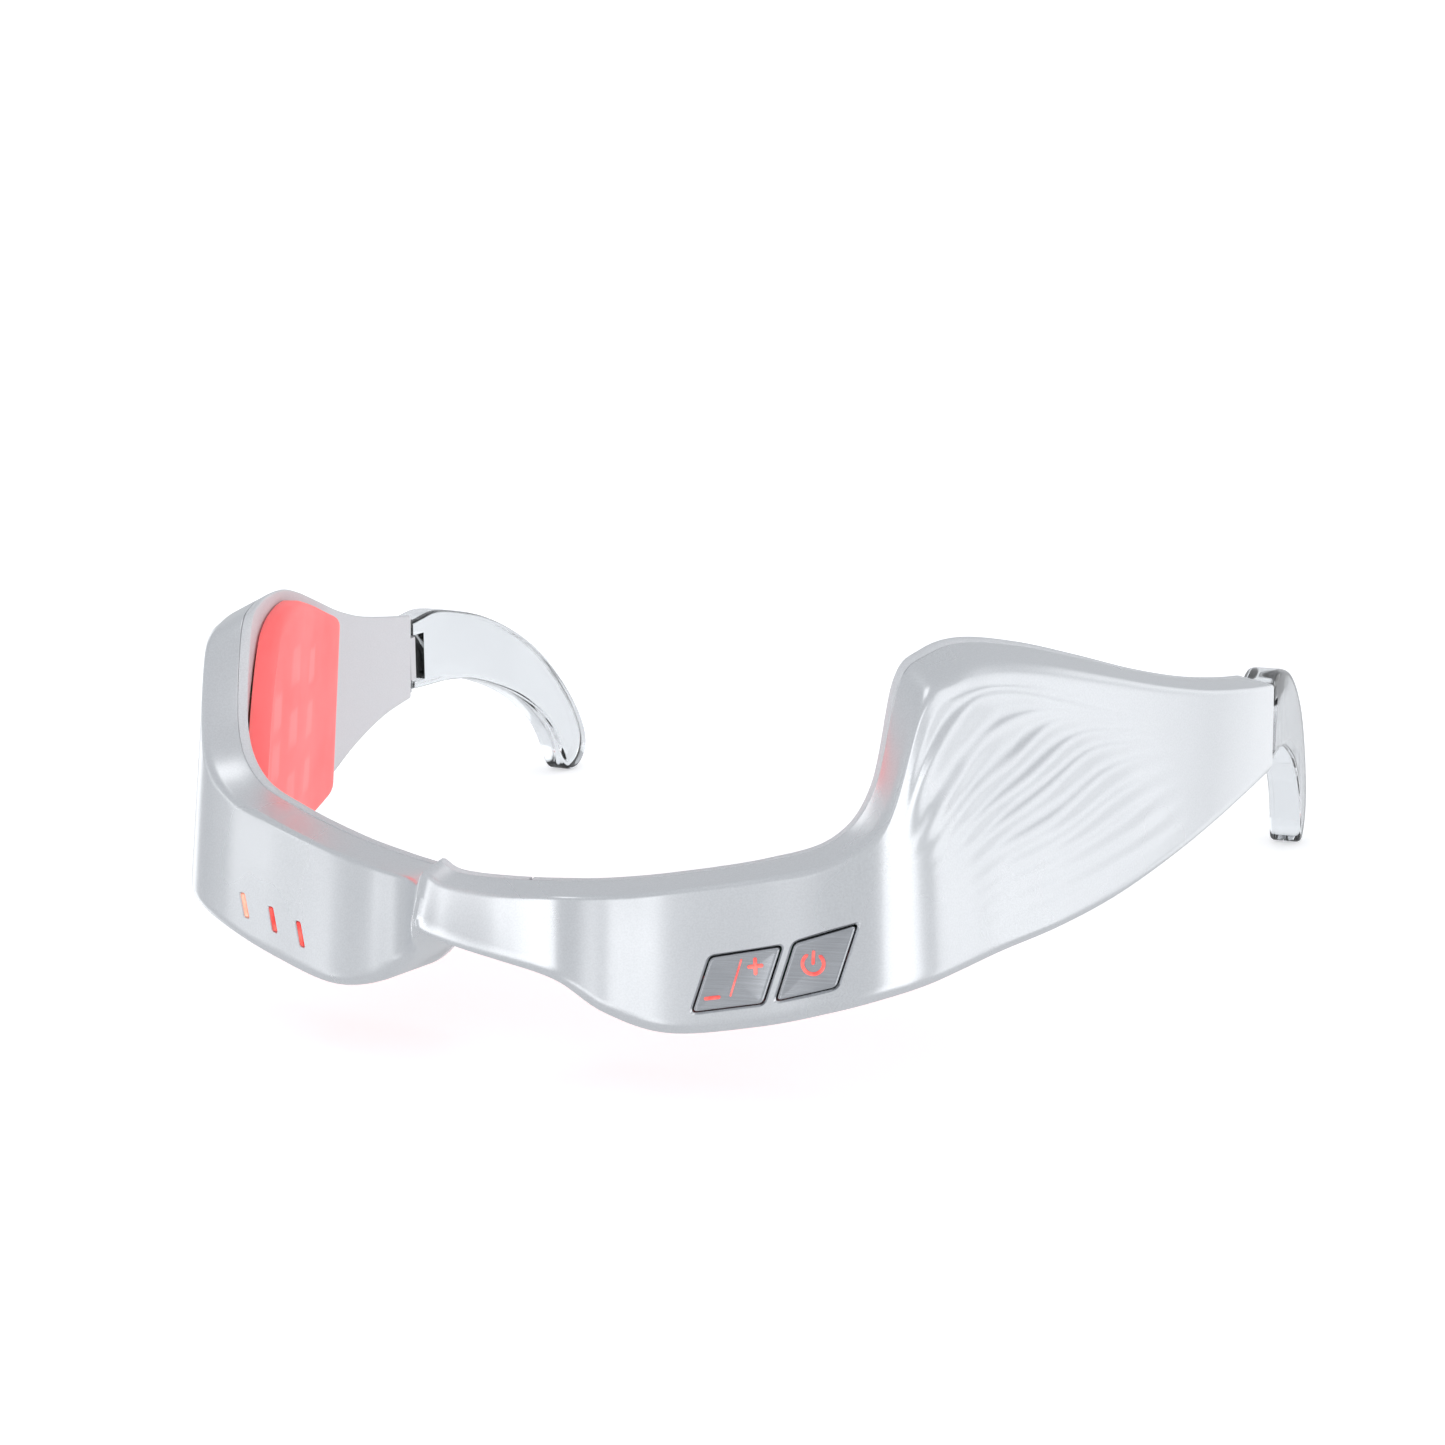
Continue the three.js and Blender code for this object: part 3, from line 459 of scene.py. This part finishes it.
def key_recess(name, outline):
    steps = [(-0.6, 0.76), (0.02, 0.36), (0.2, 0.18), (3.5, 0.18)]
    return loft(name, [on_face(rounded(outline, grow), depth) for depth, grow in steps])


def window_outline(x, z, grow=0.0):
    lean, half, up = WINDOW_SLANT / 2, WINDOW_WIDE / 2 + grow, WINDOW_TALL / 2 + grow
    return [(x + lean - half, z - up), (x + lean + half, z - up),
            (x - lean + half, z + up), (x - lean - half, z + up)]


def window_recess(name, x, z):
    outline = window_outline(x, z)
    steps = [(-0.5, 0.3), (0.0, 0.22), (0.12, 0.12), (3, 0.12)]
    return loft(name, [on_face(rounded(outline, grow, 0.12), depth) for depth, grow in steps])


def stadium(wide, tall, steps=12):
    half = (wide - tall) / 2
    right = arc(half, 0, tall / 2, -90, 90, steps)
    left = arc(-half, 0, tall / 2, 90, 270, steps)
    return right + left


def socket_recess():
    wall = Wall(at_of_x(SOCKET_X))
    base = Vector(wall.point(5, wall.bottom))
    turn = Matrix.Rotation(math.radians(wall.turn), 4, "Z")
    rings = []
    for grow, z in ((0.5, -1), (0.35, 0), (0, 0.35), (0, 4)):
        ring = stadium(9.4 + 2 * grow, 3.6 + 2 * grow)
        rings.append([turn @ Vector((x, y, 0)) + base + Vector((0, 0, z)) for x, y in ring])
    return loft("socket_recess", rings)


def sweep(name, section, start, stop, spacing):
    walls = [Wall(at) for at in positions(start, stop, spacing)]
    return loft(name, [[wall.point(d, z) for d, z in section(wall)] for wall in walls])


def make_casing():
    casing = sweep("casing", casing_section, -END, END, 0.45)
    tools = [sweep("channel", channel_section, -END + 0.22, END - 0.22, 1.5)]
    tools.append(key_recess("level_recess", LEVEL_KEY))
    tools.append(key_recess("power_recess", POWER_KEY))
    tools += [window_recess(f"window_recess_{i}", x, z) for i, (x, z) in enumerate(WINDOWS)]
    for side in (-1, 1):
        tools.append(arm_block("notch", side, -8, 2, 3, 1.8, TONGUE_TOP + 0.3, TONGUE_BOTTOM - 0.3))
    tools.append(socket_recess())
    cut(casing, *tools)
    shade(casing, 40)
    return casing


# ---- Inner covers and pads ----
def cover_section(wall):
    outer = wall.thick - COVER
    section = [(wall.deep - COVER, wall.bottom + 0.1), (outer, wall.top_at(outer) - 0.15)]
    section += [(outer + 0.12, wall.top_at(outer + 0.12))]
    near, low = wall.thick - COVER_ROUND, wall.bottom + COVER_ROUND
    section += bend((near, wall.top_at(near)), (wall.thick, wall.top),
                    (wall.thick, wall.top - COVER_ROUND), 7)
    section += bend((wall.inner(low), low), (wall.deep, wall.bottom),
                    (wall.deep - COVER_ROUND, wall.bottom), 6)
    section += [(wall.deep - COVER + 0.1, wall.bottom)]
    return section


def band_ring(at, near, far, top_margin, bottom_margin):
    wall = Wall(at)
    top = pad_top(at) - top_margin
    bottom = wall.bottom + PAD_BOTTOM + bottom_margin
    corners = [(near, bottom), (near, top), (far, top), (far, bottom)]
    return [wall.point(wall.inner(z) + d, z) for d, z in corners]


def make_cover(name, side):
    start, stop = sorted((side * BRIDGE_END, side * END))
    cover = sweep(name, cover_section, start, stop, 0.6)
    start, stop = sorted((side * LIGHT_FROM, side * LIGHT_TO))
    rings = [band_ring(at, -4, 3, 1.6, 3.2) for at in positions(start, stop, 1)]
    cut(cover, loft("light_window", rings))
    shade(cover, 40)
    return cover


def make_bridge_liner():
    liner = sweep("bridge_cover", cover_section, -BRIDGE_END + 0.06, BRIDGE_END - 0.06, 0.4)
    shade(liner, 40)
    return liner


def pad_ring(at):
    from_end = min((abs(at) - PAD_FROM) / PAD_NOSE, (PAD_TO - abs(at)) / PAD_TAIL)
    full = math.sqrt(max(0, 1 - (1 - clamp(from_end, 0, 1)) ** 2))
    wall = Wall(at)
    trim = 2 * (1 - full)
    top = pad_top(at) - trim
    bottom = wall.bottom + PAD_BOTTOM + trim
    proud = 1.0 + (PAD - 1.0) * full
    soft = min(1.1, proud - GAP - 0.1)
    section = [(GAP, bottom), (GAP, top)]
    section += arc(proud - soft, top - soft, soft, 90, 0, 8)
    section += line((proud, top - soft), (proud, bottom + soft), 44)[1:]
    section += arc(proud - soft, bottom + soft, soft, 0, -90, 8)
    return [wall.point(wall.inner(z) + d, z) for d, z in section]


def light_spots(side):
    """Middles of the light packages behind a pad, as wall position and height."""
    spots = []
    for column in range(8):
        at = side * (LIGHT_FROM + 0.6 + column * (LIGHT_TO - LIGHT_FROM - 1.2) / 7)
        wall = Wall(at)
        count = 3 if wall.top > 4 else 1
        high = min(pad_top(at - 0.4), pad_top(at + 0.4)) - 3.4
        low = wall.bottom + PAD_BOTTOM + 4.2
        spots += [(at, low + (high - low) * (i + 0.5) / count) for i in range(count)]
    return spots


def pad_glow(pad, side):
    """Marks the pad where a light package lies behind it, where the pad gets a painted glow."""
    spots = [place(Wall(at).point(Wall(at).inner(z) + 2, z)) for at, z in light_spots(side)]
    layer = pad.data.attributes.new("glow", "FLOAT", "POINT")
    values = []
    for vertex in pad.data.vertices:
        best = 0
        for middle in spots:
            flat = math.hypot(vertex.co.x - middle.x, vertex.co.y - middle.y) / MM
            tall = abs(vertex.co.z - middle.z) / MM
            best = max(best, (1 - ease(flat, 1.7, 2.3)) * (1 - ease(tall, 2.0, 2.6)))
        values.append(best)
    layer.data.foreach_set("value", values)


def make_pad(name, side):
    ends = 1 - np.cos(np.linspace(0, math.pi / 2, 9))
    nose = PAD_FROM + PAD_NOSE * ends
    tail = (PAD_TO - PAD_TAIL * ends)[::-1]
    inside = positions(PAD_FROM + PAD_NOSE, PAD_TO - PAD_TAIL, 0.6)[1:-1]
    spread = sorted(side * np.concatenate([nose, inside, tail]))
    pad = loft(name, [pad_ring(at) for at in spread])
    pad_glow(pad, side)
    shade(pad, 50)
    return pad


# ---- Keys and their marks ----
def divided(ring, spans):
    """The ring with ten steps along each of the spans, so that it can follow a curved face."""
    points = []
    for i, here in enumerate(ring):
        steps = 10 if i in spans else 1
        points += [here.lerp(ring[(i + 1) % len(ring)], s / steps) for s in range(steps)]
    return points


def make_key(name, outline):
    middle = Vector((sum(p[0] for p in outline), sum(p[1] for p in outline))) / len(outline)
    base = [Vector(p) for p in rounded(outline, 0, KEY_CORNER)]
    spans = [i for i, p in enumerate(base) if (base[(i + 1) % len(base)] - p).length > 1.5]
    rings = [on_face(divided(base, spans), KEY_DEPTH)]
    for i in range(6):
        angle = math.radians(18 * i)
        inset = KEY_BEVEL * (1 - math.cos(angle))
        depth = -KEY_PROUD + KEY_BEVEL * (1 - math.sin(angle))
        ring = [Vector(p) for p in rounded(outline, -inset, KEY_CORNER)]
        rings.append(on_face(divided(ring, spans), depth))
    edge = divided([Vector(p) for p in rounded(outline, -KEY_BEVEL, KEY_CORNER)], spans)
    for scale in (0.94, 0.85, 0.7, 0.5, 0.3, 0.12, 0.02):
        inner = [middle + (p - middle) * scale for p in edge]
        rings.append(on_face(inner, -KEY_PROUD + KEY_DISH * (1 - scale ** 2)))
    key = loft(name, rings)
    shade(key, 50)
    return key


def stroke(name, path, width, closed=False, rise=0.16, sink=0.4):
    """A raised line with round ends laid along a path, x and z, on the front of a key."""
    path = [Vector(p) for p in path]
    count = len(path)
    rings = []
    for i, here in enumerate(path):
        ahead = path[(i + 1) % count] if closed else path[min(i + 1, count - 1)]
        behind = path[i - 1] if closed else path[max(i - 1, 0)]
        run = (ahead - behind).normalized()
        across = Vector((-run.y, run.x))
        full = 1
        if not closed:
            from_end = min((here - path[0]).length, (path[-1] - here).length) / (width / 2)
            full = math.sqrt(max(0.02, 1 - (1 - clamp(from_end, 0, 1)) ** 2))
        ring = []
        for angle in np.linspace(0, math.pi, 9):
            spot = here + across * (math.cos(angle) * width / 2 * full)
            ring += on_face([spot], -KEY_PROUD - rise * math.sin(angle) * full + 0.03)
        ring += on_face([here - across * (width / 2 * full)], -KEY_PROUD + sink)
        ring += on_face([here + across * (width / 2 * full)], -KEY_PROUD + sink)
        rings.append(ring)
    mark = ring_loop(name, rings) if closed else loft(name, rings)
    shade(mark, 60)
    return mark


def ring_loop(name, rings):
    """A closed body through rings that come back to the first one."""
    count, total = len(rings[0]), len(rings)
    faces = []
    for r in range(total):
        for i in range(count):
            j, s = (i + 1) % count, (r + 1) % total
            faces.append((r * count + i, r * count + j, s * count + j, s * count + i))
    piece = new_object(name, [p for ring in rings for p in ring], faces)
    clean(piece)
    return piece


def straight(a, b, width, steps=10):
    """Points of a straight stroke, close together near its round ends."""
    a, b = Vector(a), Vector(b)
    length = (b - a).length
    near = [width / 2 * (1 - math.cos(math.pi / 2 * i / 5)) / length for i in range(6)]
    spread = near + list(np.linspace(near[-1], 1 - near[-1], steps)[1:-1]) + [1 - s for s in reversed(near)]
    return [a + (b - a) * s for s in spread]


def round_path(middle, radius, start, stop, steps):
    angles = np.radians(np.linspace(start, stop, steps))
    return [(middle[0] + radius * math.cos(a), middle[1] + radius * math.sin(a)) for a in angles]


def make_marks():
    level = {
        "mark_minus": ((26.5, -23.7), (28.3, -23.4), 0.4),
        "mark_divider": ((29.35, -23.3), (30.4, -19.0), 0.22),
        "mark_plus_bar": ((31.05, -19.9), (32.8, -19.6), 0.42),
        "mark_plus_post": ((32.0, -20.75), (31.85, -18.75), 0.42),
    }
    marks = [(stroke(n, straight(a, b, w), w), "level_rocker") for n, (a, b, w) in level.items()]
    centre = (38.2, -19.1)
    ring = stroke("mark_power_ring", round_path(centre, 1.15, 120, 420, 30), 0.4)
    post = stroke("mark_power_post", straight((38.2, -19.2), (38.2, -17.6), 0.36), 0.36)
    return marks + [(ring, "power_key"), (post, "power_key")]


# ---- Indicator windows ----
def make_window(name, x, z):
    outline = window_outline(x, z)
    steps = [(1.65, 0.0), (0.12, 0.0), (0.06, -0.05), (0.05, -0.1)]
    pane = loft(name, [on_face(rounded(outline, grow, 0.14), depth) for depth, grow in steps])
    shade(pane, 50)
    return pane


# ---- Ear hooks ----
def spline(points, steps):
    """Catmull-Rom curve through the points, without the first one."""
    curve = []
    points = [Vector(p) for p in points]
    last = len(points) - 1
    for i in range(last):
        a, b, c, d = (points[int(clamp(k, 0, last))] for k in (i - 1, i, i + 1, i + 2))
        curve += [smooth(a, b, c, d, (s + 1) / steps) for s in range(steps)]
    return curve


def hook_outline():
    upper = spline([(2, -1)] + HOOK_UPPER + HOOK_TIP + HOOK_LOWER, 8)
    front = [(2, -12.8), (-HOOK_FRONT, -12.6), (-HOOK_FRONT, -1.4), (2, -1)]
    return [Vector(p) for p in front] + upper


def inset_outline(outline, inset):
    ring = []
    for i, here in enumerate(outline):
        ahead, behind = outline[(i + 1) % len(outline)], outline[i - 1]
        first, second = (here - behind).normalized(), (ahead - here).normalized()
        out = Vector((-first.y - second.y, first.x + second.x)).normalized()
        stretch = 1 / max(0.5, math.sqrt((1 + first.dot(second)) / 2))
        ring.append(here + out * inset * -stretch)
    return ring


def signed_area(outline):
    return sum(a.x * b.y - b.x * a.y for a, b in zip(outline, outline[1:] + outline[:1])) / 2


def make_hook(name, side):
    outline = hook_outline()
    if signed_area(outline) < 0:
        outline.reverse()
    profile = [(HOOK_EDGE * (1 - math.sin(a)), HOOK_EDGE * (1 - math.cos(a)))
               for a in np.linspace(0, math.pi / 2, 7)]
    levels = profile + [(inset, HOOK_THICK - across) for inset, across in reversed(profile)]
    turn = Matrix.Rotation(side * math.radians(HOOK_TOE_IN), 4, "Z")
    pin = hinge(side)[1]
    rings = []
    for inset, across in levels:
        flat = inset_outline(outline, -inset)
        rings.append([turn @ Vector((side * (across - PIN_INSET), p.x, p.y)) + pin for p in flat])
    hook = loft(name, rings)
    for tool, operation in hook_tools(side, turn, pin):
        combine(hook, tool, operation)
    shade(hook, 35)
    return hook


def hook_tools(side, turn, pin):
    """The rounded plan of the front end, the tongue's slot and the pin's bore."""
    outer = HOOK_THICK - PIN_INSET
    plan = arc(0, 0, PIN_INSET, 180, 252, 10)
    plan += [(0, -HOOK_FRONT), (outer - 0.6, -HOOK_FRONT), (outer + 0.01, 0.6 - HOOK_FRONT)]
    plan += [(outer + 0.01, 70), (-PIN_INSET - 0.01, 70)]
    prism = [[turn @ Vector((side * x, y, z)) + pin for x, y in plan] for z in (-50, 10)]
    middle = (TONGUE_TOP + TONGUE_BOTTOM) / 2
    tall = (TONGUE_TOP - TONGUE_BOTTOM + 0.8) / 2
    low, high = (-6, -7.1, middle - tall), (6, 2.9, middle + tall)
    slot_points = [turn @ Vector(p) + pin for p in box_points(low, high)]
    slot = new_object("slot", slot_points, BOX_FACES)
    clean(slot)
    bore = [[(pin.x + x, pin.y + y, z) for x, y in arc(0, 0, PIN_BORE, 0, 345, 23)]
            for z in (middle - 6.1, middle + 6.1)]
    return [(loft("plan", prism), "INTERSECT"), (slot, "DIFFERENCE"), (loft("bore", bore), "DIFFERENCE")]


# ---- Materials ----
class Look:
    """A material with a Principled shader whose colour, roughness and bump vary over the surface."""

    def __init__(self, name):
        self.material = bpy.data.materials.new(name)
        self.material.use_nodes = True
        self.nodes = self.material.node_tree.nodes
        self.links = self.material.node_tree.links
        self.shader = self.nodes["Principled BSDF"]
        self.coords = self.nodes.new("ShaderNodeTexCoord").outputs["Object"]

    def set(self, **values):
        for socket, value in values.items():
            self.shader.inputs[socket.replace("_", " ")].default_value = value
        return self

    def noise(self, scale, detail=2.0, stretch=(1, 1, 1)):
        mapping = self.nodes.new("ShaderNodeMapping")
        mapping.inputs["Scale"].default_value = stretch
        texture = self.nodes.new("ShaderNodeTexNoise")
        texture.inputs["Scale"].default_value = scale
        texture.inputs["Detail"].default_value = detail
        self.links.new(self.coords, mapping.inputs["Vector"])
        self.links.new(mapping.outputs["Vector"], texture.inputs["Vector"])
        return texture.outputs["Fac"]

    def blend(self, factor, dark, light, low=0.35, high=0.65):
        ramp = self.nodes.new("ShaderNodeValToRGB")
        first, second = ramp.color_ramp.elements
        first.position, second.position = low, high
        first.color, second.color = (*dark, 1), (*light, 1)
        self.links.new(factor, ramp.inputs["Fac"])
        return ramp.outputs["Color"]

    def colour(self, output, socket="Base Color"):
        self.links.new(output, self.shader.inputs[socket])
        return self

    def roughness(self, factor, low, high):
        spread = self.nodes.new("ShaderNodeMapRange")
        spread.inputs["From Min"].default_value = 0.3
        spread.inputs["From Max"].default_value = 0.7
        spread.inputs["To Min"].default_value = low
        spread.inputs["To Max"].default_value = high
        self.links.new(factor, spread.inputs["Value"])
        self.links.new(spread.outputs["Result"], self.shader.inputs["Roughness"])
        return self

    def bump(self, factor, height, strength=1.0):
        node = self.nodes.new("ShaderNodeBump")
        node.inputs["Strength"].default_value = strength
        node.inputs["Distance"].default_value = height
        self.links.new(factor, node.inputs["Height"])
        self.links.new(node.outputs["Normal"], self.shader.inputs["Normal"])
        return self


def shift_colour(base, amount):
    return tuple(clamp(c * (1 + amount), 0, 1) for c in base)


def surface(name, base, rough, metal, variation=0.04, grain=2500, height=2e-6, stretch=(1, 1, 1)):
    """A plain moulded, painted or metal finish with a fine grain."""
    look = Look(name).set(Metallic=metal)
    fine = look.noise(grain, 3, stretch)
    broad = look.noise(60)
    look.colour(look.blend(fine, shift_colour(base, -variation), shift_colour(base, variation)))
    look.roughness(broad, rough * 0.88, rough * 1.12)
    look.bump(fine, height)
    return look


def make_looks():
    looks = {}
    pearl = surface("pearl_casing", (0.74, 0.755, 0.775), 0.29, 0.85, 0.035, 5000, 1.2e-6)
    pearl.set(Coat_Weight=0.25, Coat_Roughness=0.12)
    looks["pearl_casing"] = pearl
    frosted = surface("frosted_grey", (0.6, 0.61, 0.63), 0.52, 0.15, 0.05, 6000, 4e-6)
    looks["frosted_grey"] = frosted
    looks["satin_keys"] = surface("satin_keys", (0.5, 0.515, 0.54), 0.26, 0.95, 0.06, 900, 1.5e-6,
                                  (0.12, 0.12, 6))
    looks["black_plastic"] = surface("black_plastic", (0.02, 0.02, 0.022), 0.5, 0, 0.3, 4000, 4e-6)
    looks["circuit_board"] = surface("circuit_board", (0.02, 0.16, 0.07), 0.42, 0, 0.25, 700, 1e-5)
    looks["battery_foil"] = surface("battery_foil", (0.62, 0.64, 0.66), 0.32, 0.8, 0.08, 900, 2e-5,
                                    (1, 1, 4))
    looks["flex_copper"] = surface("flex_copper", (0.55, 0.24, 0.05), 0.4, 0.3, 0.15, 1500, 4e-6, (1, 1, 8))
    looks["dark_steel"] = surface("dark_steel", (0.2, 0.21, 0.22), 0.35, 1, 0.1, 3000, 3e-6)
    looks["bright_steel"] = surface("bright_steel", (0.62, 0.63, 0.65), 0.24, 1, 0.06, 2500, 2e-6,
                                    (1, 1, 0.1))
    # The pad's red silicone carries a painted glow, brighter over the light packages.
    looks["red_silicone"] = silicone_with_painted_glow()
    looks["clear_acrylic"] = acrylic_look()
    looks["red_window"] = glow_look("red_window", (0.75, 0.035, 0.03), (0.95, 0.12, 0.09), 0.35)
    looks["orange_window"] = glow_look("orange_window", (0.9, 0.3, 0.2), (1, 0.45, 0.32), 0.4)
    # The red print on the keys emits light as well: a painted glow, since the marks are no lamp.
    looks["red_mark"] = glow_look("red_mark", (0.85, 0.09, 0.08), (1, 0.2, 0.17), 0.3)
    return {name: look.material for name, look in looks.items()}


def silicone_with_painted_glow():
    look = Look("red_silicone").set(Subsurface_Weight=0.35, Subsurface_Scale=0.002, IOR=1.41)
    look.shader.inputs["Subsurface Radius"].default_value = (1, 0.35, 0.3)
    # Painted glow: the pad is lighter where the light packages lie behind it, and the whole pad emits its
    # own colour though it is no lamp.
    spots = look.nodes.new("ShaderNodeAttribute")
    spots.attribute_name = "glow"
    skin = look.blend(look.noise(70), (0.9, 0.15, 0.15), (0.95, 0.175, 0.175))
    mix = look.nodes.new("ShaderNodeMix")
    mix.data_type = "RGBA"
    look.links.new(spots.outputs["Fac"], mix.inputs["Factor"])
    look.links.new(skin, mix.inputs[6])
    mix.inputs[7].default_value = (1.0, 0.21, 0.21, 1)
    look.colour(mix.outputs[2])
    look.colour(mix.outputs[2], "Emission Color")
    look.set(Emission_Strength=0.24)
    look.roughness(look.noise(120), 0.42, 0.54)
    look.bump(look.noise(3500, 3), 4e-6)
    return look


def acrylic_look():
    look = Look("clear_acrylic").set(Transmission_Weight=1.0, IOR=1.49)
    look.colour(look.blend(look.noise(40), (0.65, 0.67, 0.69), (0.69, 0.71, 0.73)))
    look.roughness(look.noise(90), 0.015, 0.04)
    look.bump(look.noise(55), 6e-6)
    return look


def glow_look(name, dark, light, strength):
    look = Look(name).set(Emission_Strength=strength)
    tint = look.blend(look.noise(900), dark, light)
    look.colour(tint)
    look.colour(tint, "Emission Color")
    look.roughness(look.noise(400), 0.3, 0.42)
    look.bump(look.noise(2500), 3e-6)
    return look


# ---- Pieces ----
LOOKS = make_looks()


def dress(piece, look, body=None, nodes=()):
    piece.data.materials.clear()
    piece.data.materials.append(LOOKS[look])
    if body:
        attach(piece, body)
    if nodes:
        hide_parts(*nodes)


def dress_frame():
    """Every CAD node gets its record slot's finish, also those that a piece replaces."""
    for part in frame["record"]["subparts"]:
        dress(frame["nodes"][part["node"]], part["material_slot"])


def build_front():
    dress(make_casing(), "pearl_casing", "front", nodes=["outer_shell"])
    dress(make_bridge_liner(), "frosted_grey", "front", nodes=["bridge_liner"])
    for side, name in ((1, "left"), (-1, "right")):
        cover = make_cover(f"cover_{name}", side)
        dress(cover, "frosted_grey", "front", nodes=[f"inner_cover_{name}"])
        pad = make_pad(f"pad_{name}", side)
        dress(pad, "red_silicone", "front", nodes=[f"light_pad_{name}"])
    for i, (x, z) in enumerate(WINDOWS):
        look = "red_window" if i else "orange_window"
        pane = make_window(f"pane_{i + 1}", x, z)
        dress(pane, look, "front", [f"indicator_window_{i + 1}"])


def build_keys():
    level = make_key("level_cap", LEVEL_KEY)
    dress(level, "satin_keys", "level_rocker", nodes=["level_key"])
    power = make_key("power_cap", POWER_KEY)
    dress(power, "satin_keys", "power_key", nodes=["power_button"])
    for mark, body in make_marks():
        # The marks take the red_mark finish, which has a painted glow.
        dress(mark, "red_mark", body)


def build_hooks():
    for side, name in ((1, "left"), (-1, "right")):
        hook = make_hook(f"hook_{name}", side)
        dress(hook, "clear_acrylic", f"{name}_hook", nodes=[f"ear_hook_{name}"])


# ---- Studio ----
LIGHT_DISTANCE = 1.1
# Name, azimuth from the front and elevation in degrees, width and height in metres, strength.
LIGHTS = [
    ("front_strip", -7, -10, 0.18, 1.1, 1.15),
    ("corner_strip", 64, -10, 0.85, 1.1, 0.9),
    ("side_strip", 118, -4, 0.55, 1.1, 0.56),
    ("rear_strip", 152, 0, 0.5, 1.1, 0.5),
    ("left_strip", -56, -10, 0.14, 1.1, 0.85),
    ("rear_left_strip", -112, -4, 0.4, 1.1, 0.9),
    ("top_panel", 30, 78, 0.5, 0.5, 0.9),
]


def make_stage():
    """A round studio floor that curves up into its wall on every side."""
    radius, height, curve = 2.4, 1.4, 0.55
    floor = CAD_BOX[0][2] - 0.0002
    profile = [(0.02, 0), (0.3, 0), (0.8, 0), (radius - curve, 0)]
    profile += [(radius - curve + curve * math.sin(a), curve * (1 - math.cos(a)))
                for a in np.linspace(0, math.pi / 2, 16)[1:]]
    profile.append((radius, curve + height))
    points, faces, count = [], [], 96
    for reach, z in profile:
        for i in range(count):
            angle = 2 * math.pi * i / count
            points.append((reach * math.cos(angle), reach * math.sin(angle), floor + z))
    for r in range(len(profile) - 1):
        for i in range(count):
            a, b = r * count + i, r * count + (i + 1) % count
            faces.append((a, a + count, b + count, b))
    faces.append(tuple(range(count)))
    mesh = bpy.data.meshes.new("studio_floor")
    mesh.from_pydata(points, [], faces)
    mesh.polygons.foreach_set("use_smooth", [True] * len(mesh.polygons))
    stage = bpy.data.objects.new("studio_floor", mesh)
    bpy.context.scene.collection.objects.link(stage)
    paint = (0.96, 0.962, 0.965, 1)
    look = Look("studio_paint").set(Base_Color=paint, Emission_Color=paint, Emission_Strength=0.3)
    look.roughness(look.noise(5), 0.85, 0.95)
    mesh.materials.append(look.material)
    stage.visible_glossy = stage.visible_shadow = False


def add_light(name, azimuth, elevation, wide, tall, strength):
    """An area light that faces the middle of the mask and isn't seen itself."""
    middle = (Vector(CAD_BOX[0]) + Vector(CAD_BOX[1])) / 2
    az, el = math.radians(azimuth), math.radians(elevation)
    away = Vector((math.sin(az) * math.cos(el), -math.cos(az) * math.cos(el), math.sin(el)))
    lamp = bpy.data.lights.new(name, "AREA")
    lamp.shape = "RECTANGLE"
    lamp.size, lamp.size_y = wide, tall
    lamp.energy = strength * math.pi * wide * tall
    light = bpy.data.objects.new(name, lamp)
    light.location = middle + away * LIGHT_DISTANCE
    light.rotation_euler = away.to_track_quat("Z", "Y").to_euler()
    light.visible_camera = False
    bpy.context.scene.collection.objects.link(light)


def make_world():
    world = bpy.data.worlds.new("studio")
    bpy.context.scene.world = world
    world.use_nodes = True
    background = world.node_tree.nodes["Background"]
    background.inputs["Color"].default_value = (0.94, 0.965, 1, 1)
    background.inputs["Strength"].default_value = 0.64


def make_lights():
    for light in LIGHTS:
        add_light(*light)


def make_camera():
    """The viewing angle of the picture, with the camera's place in the drawing's millimetres."""
    azimuth, elevation = math.radians(23.31), math.radians(11.85)
    lens = bpy.data.cameras.new("camera")
    lens.lens, lens.sensor_width = 54.8, 36
    camera = bpy.data.objects.new("camera", lens)
    camera.location = place((120.68, -199.51, 56.62))
    back = Vector((math.sin(azimuth) * math.cos(elevation), -math.cos(azimuth) * math.cos(elevation),
                   math.sin(elevation)))
    camera.rotation_euler = back.to_track_quat("Z", "Y").to_euler()
    bpy.context.scene.collection.objects.link(camera)
    bpy.context.scene.camera = camera
    bpy.context.scene.view_settings.view_transform = "Standard"


make_camera()
make_stage()
make_world()
make_lights()
dress_frame()
build_front()
build_keys()
build_hooks()
